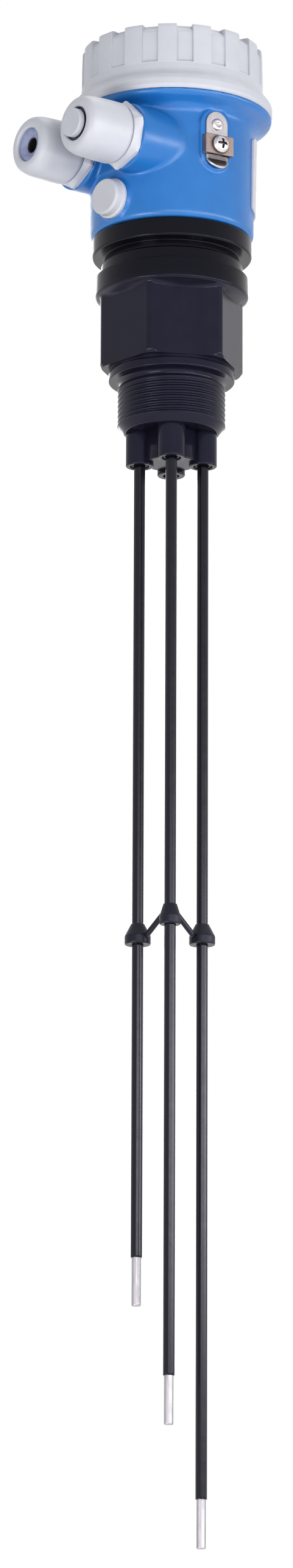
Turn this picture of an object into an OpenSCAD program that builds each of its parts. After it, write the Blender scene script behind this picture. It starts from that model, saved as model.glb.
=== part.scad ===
// Multi-rod electrode level switch with a plastic housing
// Millimetres, +Z up. The origin is on the axis, in the sealing plane of the process thread.
// The front is -Y. Both cable entries look to the front left.

/* [Process connection] */
// Major diameter of the parallel pipe thread
thread_d = 47.8; // [30:0.1:60]
// Length of the thread below the sealing plane
thread_length = 24; // [18:0.5:30]
// Width across the flats of the wrench hexagon
hex_af = 56.8; // [50:0.1:60]
// Height of the wrench hexagon
hex_height = 31.4; // [20:0.1:36]
// Diameter of the round bar that the hexagon is cut from
hex_bar_d = 64.4; // [60:0.1:66]
// Diameter of the collar above the hexagon
collar_d = 67.8; // [64:0.1:70]
// Diameter of the ring that carries the housing
seat_ring_d = 71.2; // [68:0.1:72]

/* [Electrodes] */
// Distance of each rod from the axis
rod_circle_r = 14; // [12:0.1:16]
// Diameter of the steel rods
rod_d = 4; // [3:0.1:5]
// Outer diameter of the insulating sleeves
sleeve_d = 5; // [4.5:0.1:6]
// Depth of the short rod's tip below the sealing plane
short_rod = 414; // [300:1:500]
// Depth of the medium rod's tip below the sealing plane
medium_rod = 467; // [320:1:600]
// Depth of the long rod's tip below the sealing plane
long_rod = 518; // [340:1:800]
// Bare length at each tip
bare_tip = 21; // [10:0.5:30]
// Depth of the spacer below the sealing plane
spacer_depth = 255.5; // [100:0.5:300]

/* [Housing] */
// Outer diameter of the housing at its foot
body_d = 72.8; // [70:0.1:76]
// Diameter of the shoulder that the cover lands on
flange_d = 89.2; // [86:0.1:92]
// Wall thickness of the housing
wall = 3.6; // [3:0.1:4]
// Height of the housing's foot above the sealing plane
body_base_z = 66; // [64:0.5:68]
// Height of the shoulder that the cover lands on
flange_z = 123; // [121:0.5:125]
// Diameter of the neck that the cover screws onto
neck_d = 73.2; // [72:0.1:74]

/* [Cover] */
// Diameter of the cover's grip
cover_d = 81.2; // [80:0.1:83]
// Height of the cover's top above the sealing plane
cover_top_z = 155; // [150:0.5:156]
// Number of grip ribs round the cover
cover_ribs = 16; // [12:1:24]
// Part of the pitch that a grip recess takes
recess_share = 0.46; // [0.3:0.01:0.5]
// Depth of the recesses between the ribs
recess_depth = 0.9; // [0.5:0.1:1.2]

/* [Cable glands] */
// Angle of the cable entries to the left of the front
gland_angle = 52; // [40:1:60]
// Distance between the two entries
gland_spacing = 34.8; // [33:0.1:36]
// Height of the entries above the sealing plane
gland_z = 101.9; // [99:0.1:103]
// Width across the flats of the gland's hexagon
gland_af = 26.8; // [25:0.1:28]
// Diameter of the domed gland nut
gland_nut_d = 27.6; // [25:0.1:28]
// Diameter of the hole in the sealing insert
cable_d = 6.4; // [5:0.1:8]

/* [Hidden] */

$fn = 96;

blue = "#2f78c8";
light_grey = "#cfd0d6";
black = "#26252d";
rubber_black = "#1b1b1e";
steel = "#b9b9bc";

// Clearance of parts that turn or slide in each other
running = 0.08;
// Clearance of parts that stay together
seated = 0.03;
// How far a cutting solid reaches past the face that it opens
past = 1;

thread_r = thread_d / 2;
collar_r = collar_d / 2;
seat_r = seat_ring_d / 2;
hex_bar_r = hex_bar_d / 2;
rod_r = rod_d / 2;
sleeve_r = sleeve_d / 2;
body_r = body_d / 2;
flange_r = flange_d / 2;
neck_r = neck_d / 2;
cover_r = cover_d / 2;

// Heights of the process fitting
shoulder_h = 4.9;
shoulder_r = 28;
hex_top_z = shoulder_h + hex_height;
collar_z = hex_top_z + 5.9;
waist_z = 51;
hex_turn = 12;
boss_r = 6.2;
boss_bottom_z = -39;
spigot_r = 22;
spigot_top_z = 79;
bore_r = 18;
board_z = 10;
hub_top_z = 76.1;

// Places of the two pillars for the module's screws
pillar_r = 28.2;
PILLARS = [38, 218];

// Directions of the three rods and of the spare place, seen from above
ROD_ANGLES = [180, 270, 0];
ROD_TIPS = [-short_rod, -medium_rod, -long_rod];
SPARE_ANGLE = 90;

// Heights inside the housing
floor_z = body_base_z + 4;
ledge_z = 88;
cavity_r = body_r - wall;

// Radius of the housing's outside near its shoulder, where the draft ends
body_top_r = body_r + 0.4;
ledge_r = cavity_r - 2.6;
neck_top_z = flange_z + 15;
deck_z = ledge_z + 3;
card_z = deck_z + 1.6;

// Distances along the cable entry, from the housing's axis
boss_end = 40.8;
hex_end = 45.2;
insert_seat = 51.4;
barrel_end = 58.7;
nut_start = 45.6;
nut_end = 68.2;
nut_r = gland_nut_d / 2;
gland_boss_r = 15;
entry_r = 10;
barrel_r = 11;

// Place of the vent cap, below the cable entries
vent_angle = 45.2;
vent_z = 77;
vent_seat = 37.1;

// Place of the ground terminal, to the right of the front
ground_angle = 31;
pad_face = 37.6;
ground_top_z = 110;
ground_screw_z = 99.5;
tongue_z = 93.4;

// Heights of the nameplate
plate_z0 = 78;
plate_z1 = 112;

// Radius of the housing's outside at a height, with the draft of the mould
function body_r_at(z) =
    body_r + (body_top_r - body_r) * (z - body_base_z - 1.4) / (flange_z - 8.8 - body_base_z);

// Points of an arc, with its centre, its two half widths and its first and last angle
function arc(cx, cy, rx, ry, a0, a1, n) =
    [for (i = [0 : n]) let (a = a0 + (a1 - a0) * i / n) [cx + rx * cos(a), cy + ry * sin(a)]];

// Turns a shape so that its +Z looks out of the housing, at an angle to the left of the front
module outward(angle, side, z) {
    translate([side * cos(angle), -side * sin(angle), z])
        rotate([90, 0, -angle])
            children();
}

module on_entry(side) {
    outward(gland_angle, side * gland_spacing / 2, gland_z) children();
}

module at_rod(i) {
    rotate(ROD_ANGLES[i]) translate([rod_circle_r, 0, 0]) children();
}

module tube(r_out, r_in, z0, z1) {
    difference() {
        translate([0, 0, z0]) cylinder(r = r_out, h = z1 - z0);
        translate([0, 0, z0 - past]) cylinder(r = r_in, h = z1 - z0 + 2 * past);
    }
}

module o_ring(r_mid, r_cord, z) {
    translate([0, 0, z]) rotate_extrude() translate([r_mid, 0]) circle(r = r_cord, $fn = 32);
}

// Process fitting: spigot, seat ring, waist, collar, hexagon, shoulder, thread and rod bosses
module fitting_turned() {
    rotate_extrude()
        polygon(concat(
            [
                [0, -thread_length],
                [thread_r - 3, -thread_length],
                [thread_r - 0.2, -thread_length + 3.6],
                [thread_r, -thread_length + 4],
                [thread_r, 0],
                [shoulder_r - 0.5, 0],
                [shoulder_r, 0.5],
                [shoulder_r, shoulder_h - 1.4],
                [shoulder_r - 0.5, shoulder_h - 1],
                [shoulder_r - 0.5, shoulder_h + 1],
                [hex_af / 2 - 1, shoulder_h + 1],
                [hex_af / 2 - 1, hex_top_z - 0.4],
                [hex_bar_r, hex_top_z + 1.3],
                [collar_r - 0.6, collar_z - 0.9],
                [collar_r, collar_z]
            ],
            arc(collar_r - 1.4, waist_z - 3, 1.4, 1.4, 0, 60, 4),
            [[seat_r - 4.3, waist_z - 0.8]],
            arc(seat_r - 4.3 + 1.2, waist_z + 1, 1.2, 1.4, 180, 120, 3),
            arc(seat_r - 3.2, 57.4, 3.2, 3.4, -70, 0, 6),
            [
                [seat_r, body_base_z - 0.6],
                [seat_r - 0.6, body_base_z],
                [spigot_r, body_base_z],
                [spigot_r, spigot_top_z - 1],
                [spigot_r - 1, spigot_top_z],
                [0, spigot_top_z]
            ]
        ));
}

// The hexagon is milled from round bar, so narrow strips of the bar stay along its corners
module fitting_hexagon() {
    height = hex_height + 1.2;
    translate([0, 0, shoulder_h])
        intersection() {
            rotate(hex_turn)
                cylinder(r = hex_af / 2 / cos(30), h = height, $fn = 6);
            union() {
                cylinder(r1 = hex_bar_r - 1.8, r2 = hex_bar_r, h = 2.2);
                translate([0, 0, 2.2]) cylinder(r = hex_bar_r, h = height - 2.2);
            }
        }
}

module fitting_bosses() {
    height = -thread_length - boss_bottom_z + 1;
    for (a = [0 : 90 : 270])
        rotate(a)
            translate([rod_circle_r, 0, boss_bottom_z])
                cylinder(r = boss_r, h = height);
    translate([0, 0, boss_bottom_z + 1.5])
        cylinder(r = 12, h = height - 1.5);
}

module process_fitting() {
    color(black)
        difference() {
            union() {
                fitting_turned();
                fitting_hexagon();
                fitting_bosses();
            }
            translate([0, 0, -13]) cylinder(r = bore_r - 2.5, h = board_z + 13 + past);
            translate([0, 0, board_z]) cylinder(r = bore_r, h = spigot_top_z);
            tube(spigot_r + past, spigot_r - 2.4, 70.8, 73.4);
            tube(spigot_r + past, spigot_r - 1.4, hub_top_z, hub_top_z + 1.6);
            for (i = [0 : 2])
                at_rod(i) {
                    translate([0, 0, boss_bottom_z - past]) cylinder(r = sleeve_r + seated, h = 10 + past);
                    translate([0, 0, boss_bottom_z])
                        cylinder(r = rod_r + seated, h = board_z - boss_bottom_z);
                    translate([0, 0, boss_bottom_z - past]) cylinder(r = sleeve_r + 1.5, h = 2 + past);
                }
            rotate(SPARE_ANGLE)
                translate([rod_circle_r, 0, boss_bottom_z - past])
                    cylinder(r = 3.6, h = 2.5 + past);
        }
}

module electrode_rod(i) {
    color(steel)
        at_rod(i)
            rotate_extrude()
                polygon([
                    [0, ROD_TIPS[i]],
                    [rod_r - 0.4, ROD_TIPS[i]],
                    [rod_r, ROD_TIPS[i] + 0.4],
                    [rod_r, board_z + 6.6],
                    [rod_r - 0.4, board_z + 7],
                    [0, board_z + 7]
                ]);
}

module rod_sleeve(i) {
    color(black)
        at_rod(i)
            tube(sleeve_r, rod_r + seated, ROD_TIPS[i] + bare_tip, boss_bottom_z + 10);
}

module rod_seals() {
    color(rubber_black)
        for (i = [0 : 2])
            at_rod(i)
                o_ring(sleeve_r + 0.75, 0.7, boss_bottom_z + 1.2);
}

module contact_board() {
    color("#1f5a3a")
        difference() {
            translate([0, 0, board_z]) cylinder(r = bore_r - 0.1, h = 1.6);
            for (i = [0 : 2])
                at_rod(i)
                    translate([0, 0, board_z - past]) cylinder(r = rod_r + 0.1, h = 2 + 2 * past);
        }
}

module rod_nuts() {
    color(steel)
        for (i = [0 : 2])
            at_rod(i)
                difference() {
                    translate([0, 0, board_z + 1.6])
                        rotate(30)
                            cylinder(r = 3.5 / cos(30), h = 3.2, $fn = 6);
                    translate([0, 0, board_z]) cylinder(r = rod_r + seated, h = 8);
                }
}

module sensor_cable() {
    color("#8d8f94")
        translate([0, 0, board_z + 1.6])
            cylinder(r = 2.6, h = ledge_z - 8.4 - board_z - 1.6);
}

// Spacer: three hubs with conical tops, and two thin arms from the front hub to the side hubs
module spacer_hub(i, rise) {
    at_rod(i)
        translate([0, 0, rise - spacer_depth])
            rotate_extrude()
                polygon([
                    [sleeve_r + running, 0],
                    [5.4, 0],
                    [5.7, 0.3],
                    [5.7, 3.8],
                    [2.9, 9.1],
                    [sleeve_r + running, 9.1]
                ]);
}

module spacer_arm(i, rise) {
    from = [0, -rod_circle_r, rise + 4.6 - spacer_depth];
    to = [rod_circle_r * cos(ROD_ANGLES[i]), 0, 2.6 - spacer_depth];
    run = to - from;
    length = norm(run);
    level = norm([run[0], run[1]]);
    translate(from)
        rotate([0, acos(run[2] / length), atan2(run[1], run[0])])
            translate([-0.9, -1.1, 4.2])
                cube([1.8, 2.2, length - 8.4]);
}

module rod_spacer() {
    front_rise = 6;
    color(black)
        union() {
            spacer_hub(0, 0);
            spacer_hub(1, front_rise);
            spacer_hub(2, 0);
            spacer_arm(0, front_rise);
            spacer_arm(2, front_rise);
        }
}

module swivel_seal() {
    color(rubber_black) o_ring(spigot_r - 1.12, 1.15, 72.1);
}

module retaining_ring() {
    color(steel)
        difference() {
            tube(spigot_r + 2.4, spigot_r - 1.35, hub_top_z + 0.1, hub_top_z + 1.5);
            translate([0, -4, hub_top_z - past]) cube([40, 8, 4]);
        }
}

// Housing: turned shell with a bowl-shaped shoulder, two blended cable bosses and a ground pad
module housing_shell() {
    rotate_extrude()
        polygon(concat(
            [[0, body_base_z], [body_r - 1.4, body_base_z]],
            arc(body_r - 1.4, body_base_z + 1.4, 1.4, 1.4, -75, 0, 5),
            arc(body_r + 2.6, flange_z - 7.4, 2.2, 2.2, 180, 112, 6),
            arc(flange_r - 1.8, flange_z - 1.4, 1.8, 1.6, -65, 0, 6),
            [
                [flange_r, flange_z - 0.4],
                [flange_r - 0.4, flange_z],
                [neck_r, flange_z],
                [neck_r, neck_top_z - 0.8],
                [neck_r - 0.8, neck_top_z],
                [0, neck_top_z]
            ]
        ));
}

module gland_boss() {
    rotate_extrude()
        polygon(
            [
                [0, 20],
                [gland_boss_r + 1.2, 20],
                [gland_boss_r + 0.3, 33],
                [gland_boss_r, boss_end - 0.6],
                [gland_boss_r - 0.6, boss_end],
                [0, boss_end]
            ]
        );
}

module ground_pad() {
    rotate(ground_angle)
        rotate([90, 0, 0])
            linear_extrude(height = pad_face)
                union() {
                    for (z = [ground_top_z - 0.6, ground_screw_z - 6])
                        translate([0, z]) circle(r = 8.2, $fn = 48);
                    translate([-8.2, ground_screw_z - 6])
                        square([16.4, ground_top_z - ground_screw_z + 5.4]);
                }
}

module housing_body() {
    color(blue)
        difference() {
            union() {
                housing_shell();
                for (side = [-1, 1])
                    on_entry(side) gland_boss();
                // Web that joins the two cable bosses
                outward(gland_angle, 0, gland_z)
                    translate([-gland_spacing / 2, -11, 20])
                        cube([gland_spacing, 20, boss_end - 24]);
                ground_pad();
                outward(vent_angle, 0, vent_z)
                    cylinder_from(30, vent_seat, 9);
            }
            translate([0, 0, floor_z]) cylinder(r = ledge_r, h = neck_top_z);
            translate([0, 0, ledge_z]) cylinder(r = cavity_r, h = neck_top_z);
            translate([0, 0, body_base_z - past]) cylinder(r = spigot_r + running, h = 20);
            for (side = [-1, 1])
                on_entry(side)
                    translate([0, 0, 12]) cylinder(r = entry_r + seated, h = boss_end);
            outward(vent_angle, 0, vent_z)
                cylinder_from(20, 50, 4);
            rotate(ground_angle)
                for (z = [ground_top_z, ground_screw_z])
                    translate([0, -pad_face - past, z])
                        rotate([-90, 0, 0])
                            cylinder(r = 1.6, h = 4 + past);
        }
    color(blue) housing_fixings();
}

// Hub round the spigot and two pillars for the module's screws
module housing_fixings() {
    tube(spigot_r + 5, spigot_r + running, floor_z, hub_top_z);
    for (a = PILLARS)
        rotate(a)
            translate([pillar_r, 0, 0])
                tube(3.2, 1.3, floor_z - 0.5, ledge_z);
}

module cover_seal() {
    color(rubber_black) o_ring(neck_r + 2, 1.5, flange_z + 1.55);
}

module cover_turned() {
    rotate_extrude()
        polygon(concat(
            [
                [0, cover_top_z - 3.4],
                [neck_r - 3, cover_top_z - 3.4],
                [neck_r - 1, cover_top_z - 5.4],
                [neck_r - 1, neck_top_z + 0.6],
                [neck_r + running, neck_top_z + 0.6],
                [neck_r + running, flange_z + 4],
                [neck_r + 1, flange_z + 3.3],
                [neck_r + 3.9, flange_z + 3.3],
                [neck_r + 3.9, flange_z + 0.12],
                [flange_r - 0.3, flange_z + 0.12],
                [flange_r + 0.2, flange_z + 1.8],
                [flange_r + 0.2, flange_z + 4.4]
            ],
            arc(flange_r - 2.2, flange_z + 4.4, 2.4, 2.4, 20, 60, 3),
            arc(cover_r + 2.4, flange_z + 11, 2.4, 3.6, 250, 180, 4),
            [[cover_r - 0.3, cover_top_z - 1.2]],
            arc(cover_r - 1.5, cover_top_z - 1.2, 1.2, 1.2, 15, 90, 5),
            [[0, cover_top_z]]
        ));
}

module cover() {
    pitch = 360 / cover_ribs;
    color(light_grey)
        difference() {
            cover_turned();
            for (i = [0 : cover_ribs - 1])
                rotate(-82.2 + i * pitch - pitch * recess_share / 2)
                    rotate_extrude(angle = pitch * recess_share)
                        polygon([
                            [cover_r - recess_depth, flange_z + 14.4],
                            [cover_r + past, flange_z + 14.4],
                            [cover_r + past, cover_top_z + past],
                            [cover_r - 4.6, cover_top_z + past],
                            [cover_r - 4.6, cover_top_z - 1.4],
                            [cover_r - 2.2, cover_top_z - 2.4],
                            [cover_r - recess_depth - 0.2, cover_top_z - 4.4]
                        ]);
        }
}

// Cable gland: hexagon body, sealing insert, domed nut
module gland_body(side, turn) {
    color(light_grey)
        on_entry(side)
            difference() {
                union() {
                    translate([0, 0, boss_end - 9]) cylinder(r = entry_r, h = 10);
                    intersection() {
                        translate([0, 0, boss_end])
                            rotate(turn)
                                cylinder(r = gland_af / 2 / cos(30), h = hex_end - boss_end, $fn = 6);
                        translate([0, 0, boss_end])
                            cylinder(r1 = 16.4, r2 = 14.6, h = hex_end - boss_end);
                    }
                    cylinder_from(boss_end, barrel_end, barrel_r);
                }
                cylinder_from(boss_end - 10, insert_seat, 6.5);
                cylinder_from(insert_seat - 0.2, barrel_end + past, 8.4);
                tube(12.6, 10.9, boss_end - past, boss_end + 1.2);
            }
}

module cylinder_from(z0, z1, r) {
    translate([0, 0, z0]) cylinder(r = r, h = z1 - z0);
}

module gland_rings() {
    color(rubber_black)
        for (side = [-1, 1])
            on_entry(side)
                tube(12.5, 11, boss_end, boss_end + 1.15);
}

module gland_insert(side) {
    color("#8890b0")
        on_entry(side)
            difference() {
                rotate_extrude()
                    polygon([
                        [0, insert_seat],
                        [8.1, insert_seat],
                        [8.1, insert_seat + 9.8],
                        [7.3, insert_seat + 15],
                        [5.4, insert_seat + 15.6],
                        [0, insert_seat + 14.4]
                    ]);
                cylinder_from(insert_seat - past, nut_end, cable_d / 2);
            }
}

module gland_nut(side) {
    color(light_grey)
        on_entry(side)
            rotate_extrude()
                polygon(concat(
                    [
                        [barrel_r + running, nut_start],
                        [nut_r - 0.5, nut_start],
                        [nut_r, nut_start + 0.5],
                        [nut_r, nut_start + 9]
                    ],
                    arc(nut_r - 4, nut_end - 4.4, 3.7, 4.4, 0, 90, 8),
                    [
                        [8, nut_end],
                        [7.6, nut_end - 0.5],
                        [7.6, nut_end - 1.6],
                        [8.6, nut_end - 6.4],
                        [barrel_r + running, nut_end - 8.4]
                    ]
                ));
}

module dust_plug() {
    color(light_grey)
        on_entry(1)
            rotate_extrude()
                polygon([
                    [0, insert_seat + 3.8],
                    [cable_d / 2 - 0.5, insert_seat + 3.8],
                    [cable_d / 2 - running, insert_seat + 4.8],
                    [cable_d / 2 - running, nut_end - 0.6],
                    [6.9, nut_end - 0.6],
                    [6.9, nut_end + 1.3],
                    [6.4, nut_end + 1.8],
                    [0, nut_end + 1.8]
                ]);
}

module vent_cap() {
    color(light_grey)
        outward(vent_angle, 0, vent_z)
            rotate_extrude()
                polygon([
                    [0, vent_seat - 3.4],
                    [4 - seated, vent_seat - 3.4],
                    [4 - seated, vent_seat],
                    [8.5, vent_seat],
                    [9.5, vent_seat + 0.8],
                    [9.5, vent_seat + 3.4],
                    [8.8, vent_seat + 4.2],
                    [0, vent_seat + 4.2]
                ]);
}

module nameplate() {
    color("#c9c8cf")
        rotate(-90 + 128 - 51)
            rotate_extrude(angle = 102)
                polygon([
                    [body_r_at(plate_z0) + 0.02, plate_z0],
                    [body_r_at(plate_z0) + 0.9, plate_z0],
                    [body_r_at(plate_z1) + 1.3, plate_z1],
                    [body_r_at(plate_z1) + 0.02, plate_z1]
                ]);
}

// Ground terminal: bent bracket, rivet, saddle clamp and clamp screw, on the pad
module on_ground(z) {
    rotate(ground_angle)
        translate([0, -pad_face, z])
            rotate([90, 0, 0])
                children();
}

module ground_bracket() {
    color(steel)
        difference() {
            union() {
                on_ground(0)
                    linear_extrude(height = 1)
                        union() {
                            translate([0, ground_top_z]) circle(r = 5, $fn = 48);
                            translate([-5, tongue_z]) square([10, ground_top_z - tongue_z]);
                        }
                on_ground(tongue_z)
                    rotate([-38, 0, 0])
                        linear_extrude(height = 1)
                            intersection() {
                                circle(r = 5, $fn = 48);
                                translate([-6, -6]) square([12, 6]);
                            }
            }
            on_ground(ground_screw_z) cylinder_from(-past, 2, 2.1);
            on_ground(ground_top_z) cylinder_from(-past, 2, 1.6);
        }
}

module ground_rivet() {
    color(steel)
        on_ground(ground_top_z)
            rotate_extrude()
                polygon([
                    [0, -3.4],
                    [1.5, -3.4],
                    [1.5, 1.02],
                    [2.8, 1.02],
                    [2.4, 1.9],
                    [0.9, 2.1],
                    [0.7, 1.5],
                    [0, 1.5]
                ]);
}

module ground_clamp() {
    color(steel)
        on_ground(ground_screw_z)
            difference() {
                union() {
                    translate([-6.8, -4.4, 2.2]) cube([13.6, 8.8, 1.2]);
                    for (side = [-1, 1])
                        translate([side * 6.2 - 0.6, -4.4, 1.15]) cube([1.2, 8.8, 2]);
                }
                cylinder_from(0, 5, 2.1);
            }
}

module ground_screw() {
    color(steel)
        on_ground(ground_screw_z)
            difference() {
                rotate_extrude()
                    polygon([
                        [0, -3.2],
                        [1.5, -3.2],
                        [1.5, 3.45],
                        [3.9, 3.45],
                        [3.9, 5],
                        [2.9, 6.1],
                        [0, 6.4]
                    ]);
                translate([-0.5, -2.4, 5]) cube([1, 4.8, 3]);
                translate([-2.4, -0.5, 5]) cube([4.8, 1, 3]);
            }
}

// Electronics on the ledge inside the housing
module electronics_module() {
    color("#3b3d42")
        difference() {
            union() {
                cylinder_from(ledge_z - 8, ledge_z + 1, 22);
                cylinder_from(ledge_z, deck_z, cavity_r - 0.8);
            }
            for (a = PILLARS)
                rotate(a)
                    translate([pillar_r, 0, ledge_z - past])
                        cylinder(r = 1.7, h = 3 + 2 * past);
        }
}

module module_screws() {
    color(steel)
        for (a = PILLARS)
            rotate(a)
                translate([pillar_r, 0, 0])
                    difference() {
                        union() {
                            cylinder_from(ledge_z - 8, deck_z + 0.5, 1.25);
                            cylinder_from(deck_z, deck_z + 1.9, 2.8);
                        }
                        translate([-0.4, -3, deck_z + 1.1]) cube([0.8, 6, 2]);
                    }
}

module circuit_board() {
    color("#1f6b45")
        difference() {
            cylinder_from(deck_z, card_z, 22.5);
            translate([-30, -50, deck_z - past]) cube([60, 31, 4]);
        }
}

module terminal_block() {
    pole = 5.6;
    color("#4f8a5c")
        difference() {
            translate([-17, -2, card_z]) cube([34, 11, 12]);
            for (i = [-2.5 : 1 : 2.5]) {
                translate([i * pole - 1.7, -2 - past, card_z + 2.6]) cube([3.4, 7, 4]);
                translate([i * pole, 3.4, card_z + 8]) cylinder(r = 2.1, h = 5);
            }
        }
}

module terminal_screws() {
    pole = 5.6;
    color(steel)
        for (i = [-2.5 : 1 : 2.5])
            translate([i * pole, 3.4, card_z + 8])
                difference() {
                    cylinder(r = 2, h = 2.4);
                    translate([-0.4, -3, 1.6]) cube([0.8, 6, 2]);
                }
}

module relay() {
    color("#d9d6cc")
        translate([-14, 10.4, card_z])
            cube([15.6, 6.6, 11]);
}

module range_switch() {
    color("#a83232")
        difference() {
            translate([-3, -14, card_z]) cube([10, 7, 4.6]);
            translate([0.5, -13, card_z + 2.6]) cube([3, 5, 3]);
        }
}

module range_slider() {
    color("white")
        translate([0.6, -12.9, card_z + 2.65])
            cube([2.8, 2.4, 2.9]);
}

module delay_trimmer() {
    color("#2f62b0")
        difference() {
            translate([4.6, 10.4, card_z]) cube([8, 7, 5]);
            translate([8.6, 13.9, card_z + 3]) cylinder(r = 2.6, h = 4);
        }
}

module trimmer_rotor() {
    color("white")
        translate([8.6, 13.9, card_z + 3.05])
            difference() {
                cylinder(r = 2.6 - running, h = 2.8);
                translate([-0.4, -1.9, 1.8]) cube([0.8, 3.8, 2]);
            }
}

module indicator_lights() {
    color("#f0b030")
        for (y = [-13, -9])
            translate([-9, y, card_z])
                union() {
                    cylinder(r = 1.5, h = 4);
                    translate([0, 0, 4]) sphere(r = 1.5, $fn = 32);
                }
}

process_fitting();
electrode_rod(0);  // electrode_rod_short
electrode_rod(1);  // electrode_rod_medium
electrode_rod(2);  // electrode_rod_long
rod_sleeve(0);  // rod_sleeve_short
rod_sleeve(1);  // rod_sleeve_medium
rod_sleeve(2);  // rod_sleeve_long
rod_seals();
contact_board();
rod_nuts();
sensor_cable();
rod_spacer();
swivel_seal();
retaining_ring();
housing_body();
cover_seal();
cover();
gland_body(1, 17);  // gland_body_plugged
gland_body(-1, -30);  // gland_body_open
gland_rings();
gland_insert(1);  // gland_insert_plugged
gland_insert(-1);  // gland_insert_open
gland_nut(1);  // gland_nut_plugged
gland_nut(-1);  // gland_nut_open
dust_plug();
vent_cap();
nameplate();
ground_bracket();
ground_rivet();
ground_clamp();
ground_screw();
electronics_module();
module_screws();
circuit_board();
terminal_block();
terminal_screws();
relay();
range_switch();
range_slider();
delay_trimmer();
trimmer_rotor();
indicator_lights();
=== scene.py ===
"""Looks of the electrode level switch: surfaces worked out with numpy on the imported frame."""

import logging
import math
from collections.abc import Callable, Sequence
from dataclasses import dataclass
from enum import Enum

import bpy
import numpy as np
from mathutils import Matrix, Vector


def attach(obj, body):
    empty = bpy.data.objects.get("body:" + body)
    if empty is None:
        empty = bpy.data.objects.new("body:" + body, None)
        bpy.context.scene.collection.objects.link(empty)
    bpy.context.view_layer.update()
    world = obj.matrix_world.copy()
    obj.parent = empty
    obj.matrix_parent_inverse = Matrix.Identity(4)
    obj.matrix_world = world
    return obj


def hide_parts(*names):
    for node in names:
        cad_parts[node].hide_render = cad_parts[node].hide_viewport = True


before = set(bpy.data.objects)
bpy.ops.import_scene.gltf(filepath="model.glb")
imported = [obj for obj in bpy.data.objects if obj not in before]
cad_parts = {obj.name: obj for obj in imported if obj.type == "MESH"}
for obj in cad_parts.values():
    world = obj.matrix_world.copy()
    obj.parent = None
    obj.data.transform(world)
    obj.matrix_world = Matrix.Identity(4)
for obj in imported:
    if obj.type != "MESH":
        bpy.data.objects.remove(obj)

Array = np.ndarray
LOG = logging.getLogger("level_switch")
MM = 0.001
TURN = 2 * math.pi
ROD_CIRCLE_R = 14.0


class Body(str, Enum):
    """Moving bodies of the frame that new pieces ride on."""

    FITTING = "fitting"
    SPACER = "spacer"
    HOUSING = "housing"
    COVER = "cover"
    INSERT_OPEN = "insert_open"
    NUT_OPEN = "nut_open"
    INSERT_PLUGGED = "insert_plugged"
    NUT_PLUGGED = "nut_plugged"
    PLUG = "plug"
    CLAMP = "clamp"
    CLAMP_SCREW = "clamp_screw"


class Entry(Enum):
    """The two cable entries, each on one side of their common middle."""

    PLUGGED = ("plugged", 1, Body.INSERT_PLUGGED, Body.NUT_PLUGGED)
    OPEN = ("open", -1, Body.INSERT_OPEN, Body.NUT_OPEN)

    def __init__(self, label: str, side: int, insert: Body, nut: Body) -> None:
        """Holds the name in piece and node names, the side, and the bodies of insert and nut."""
        self.label, self.side, self.insert, self.nut = label, side, insert, nut


def linear(code: str) -> tuple[float, float, float, float]:
    """Turns an sRGB hex value such as "#8090a0" to a linear colour.

    Each channel c is c / 12.92 below 0.04045, and ((c + 0.055) / 1.055) to the power 2.4 above.

    Args:
        code: the colour as "#rrggbb".

    Returns:
        Linear red, green, blue and an alpha of 1.
    """
    srgb = np.array([int(code[i : i + 2], 16) for i in (1, 3, 5)]) / 255
    value = np.where(srgb <= 0.04045, srgb / 12.92, ((srgb + 0.055) / 1.055) ** 2.4)
    return (*(float(v) for v in value), 1.0)


def add_node(
    tree: bpy.types.NodeTree, kind: str, settings: dict[str, object] | None = None, **inputs: object
) -> bpy.types.Node:
    """Adds a node, with its settings, socket values and links.

    Args:
        tree: the material's or world's node tree.
        kind: the node's type name without "ShaderNode".
        settings: attributes of the node itself.
        inputs: socket values or sockets to link, named as the socket with _ for a space, or
            as _ and the socket's number.

    Returns:
        The new node.
    """
    made = tree.nodes.new("ShaderNode" + kind)
    for key, value in (settings or {}).items():
        setattr(made, key, value)
    for key, value in inputs.items():
        socket = made.inputs[int(key[1:])] if key[0] == "_" else made.inputs[key.replace("_", " ")]
        if isinstance(value, bpy.types.NodeSocket):
            tree.links.new(value, socket)
        else:
            socket.default_value = value
    return made


def emptied(owner: bpy.types.Material | bpy.types.World) -> bpy.types.NodeTree:
    """Switches a material or world to nodes and clears its tree.

    Args:
        owner: the material or world.

    Returns:
        Its empty node tree.
    """
    owner.use_nodes = True
    owner.node_tree.nodes.clear()
    return owner.node_tree


def linked(name: str, data: bpy.types.ID) -> bpy.types.Object:
    """Makes an object and links it into the scene.

    Args:
        name: the object's name.
        data: its mesh, camera or light.

    Returns:
        The object.
    """
    made = bpy.data.objects.new(name, data)
    bpy.context.scene.collection.objects.link(made)
    return made


@dataclass(frozen=True)
class Placement:
    """A local frame in the row's frame, in millimetres: the columns of its matrix are its axes."""

    matrix: Array
    origin: Array

    def __call__(self, points: Array) -> Array:
        """Carries local millimetres to metres in the row's frame."""
        return (points @ self.matrix.T + self.origin) * MM

    def local(self, points: Array) -> Array:
        """Carries millimetres of the row's frame to local ones."""
        return (points - self.origin) @ self.matrix


def outward(angle: float, side: float, height: float) -> Placement:
    """A placement that looks out of the housing: x to the side, y up, z outwards.

    Args:
        angle: degrees to the left of the front.
        side: millimetres along the local x.
        height: millimetres above the sealing plane.

    Returns:
        The placement, whose z is (-sin a, -cos a, 0) and whose x is (cos a, -sin a, 0).
    """
    c, s = math.cos(math.radians(angle)), math.sin(math.radians(angle))
    matrix = np.array([[c, 0, -s], [-s, 0, -c], [0, 1, 0]])
    return Placement(matrix, np.array([side * c, -side * s, height]))


def upright(x: float = 0, y: float = 0, z: float = 0) -> Placement:
    """A placement that only moves, for pieces turned about a vertical axis."""
    return Placement(np.eye(3), np.array([x, y, z], float))


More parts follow.
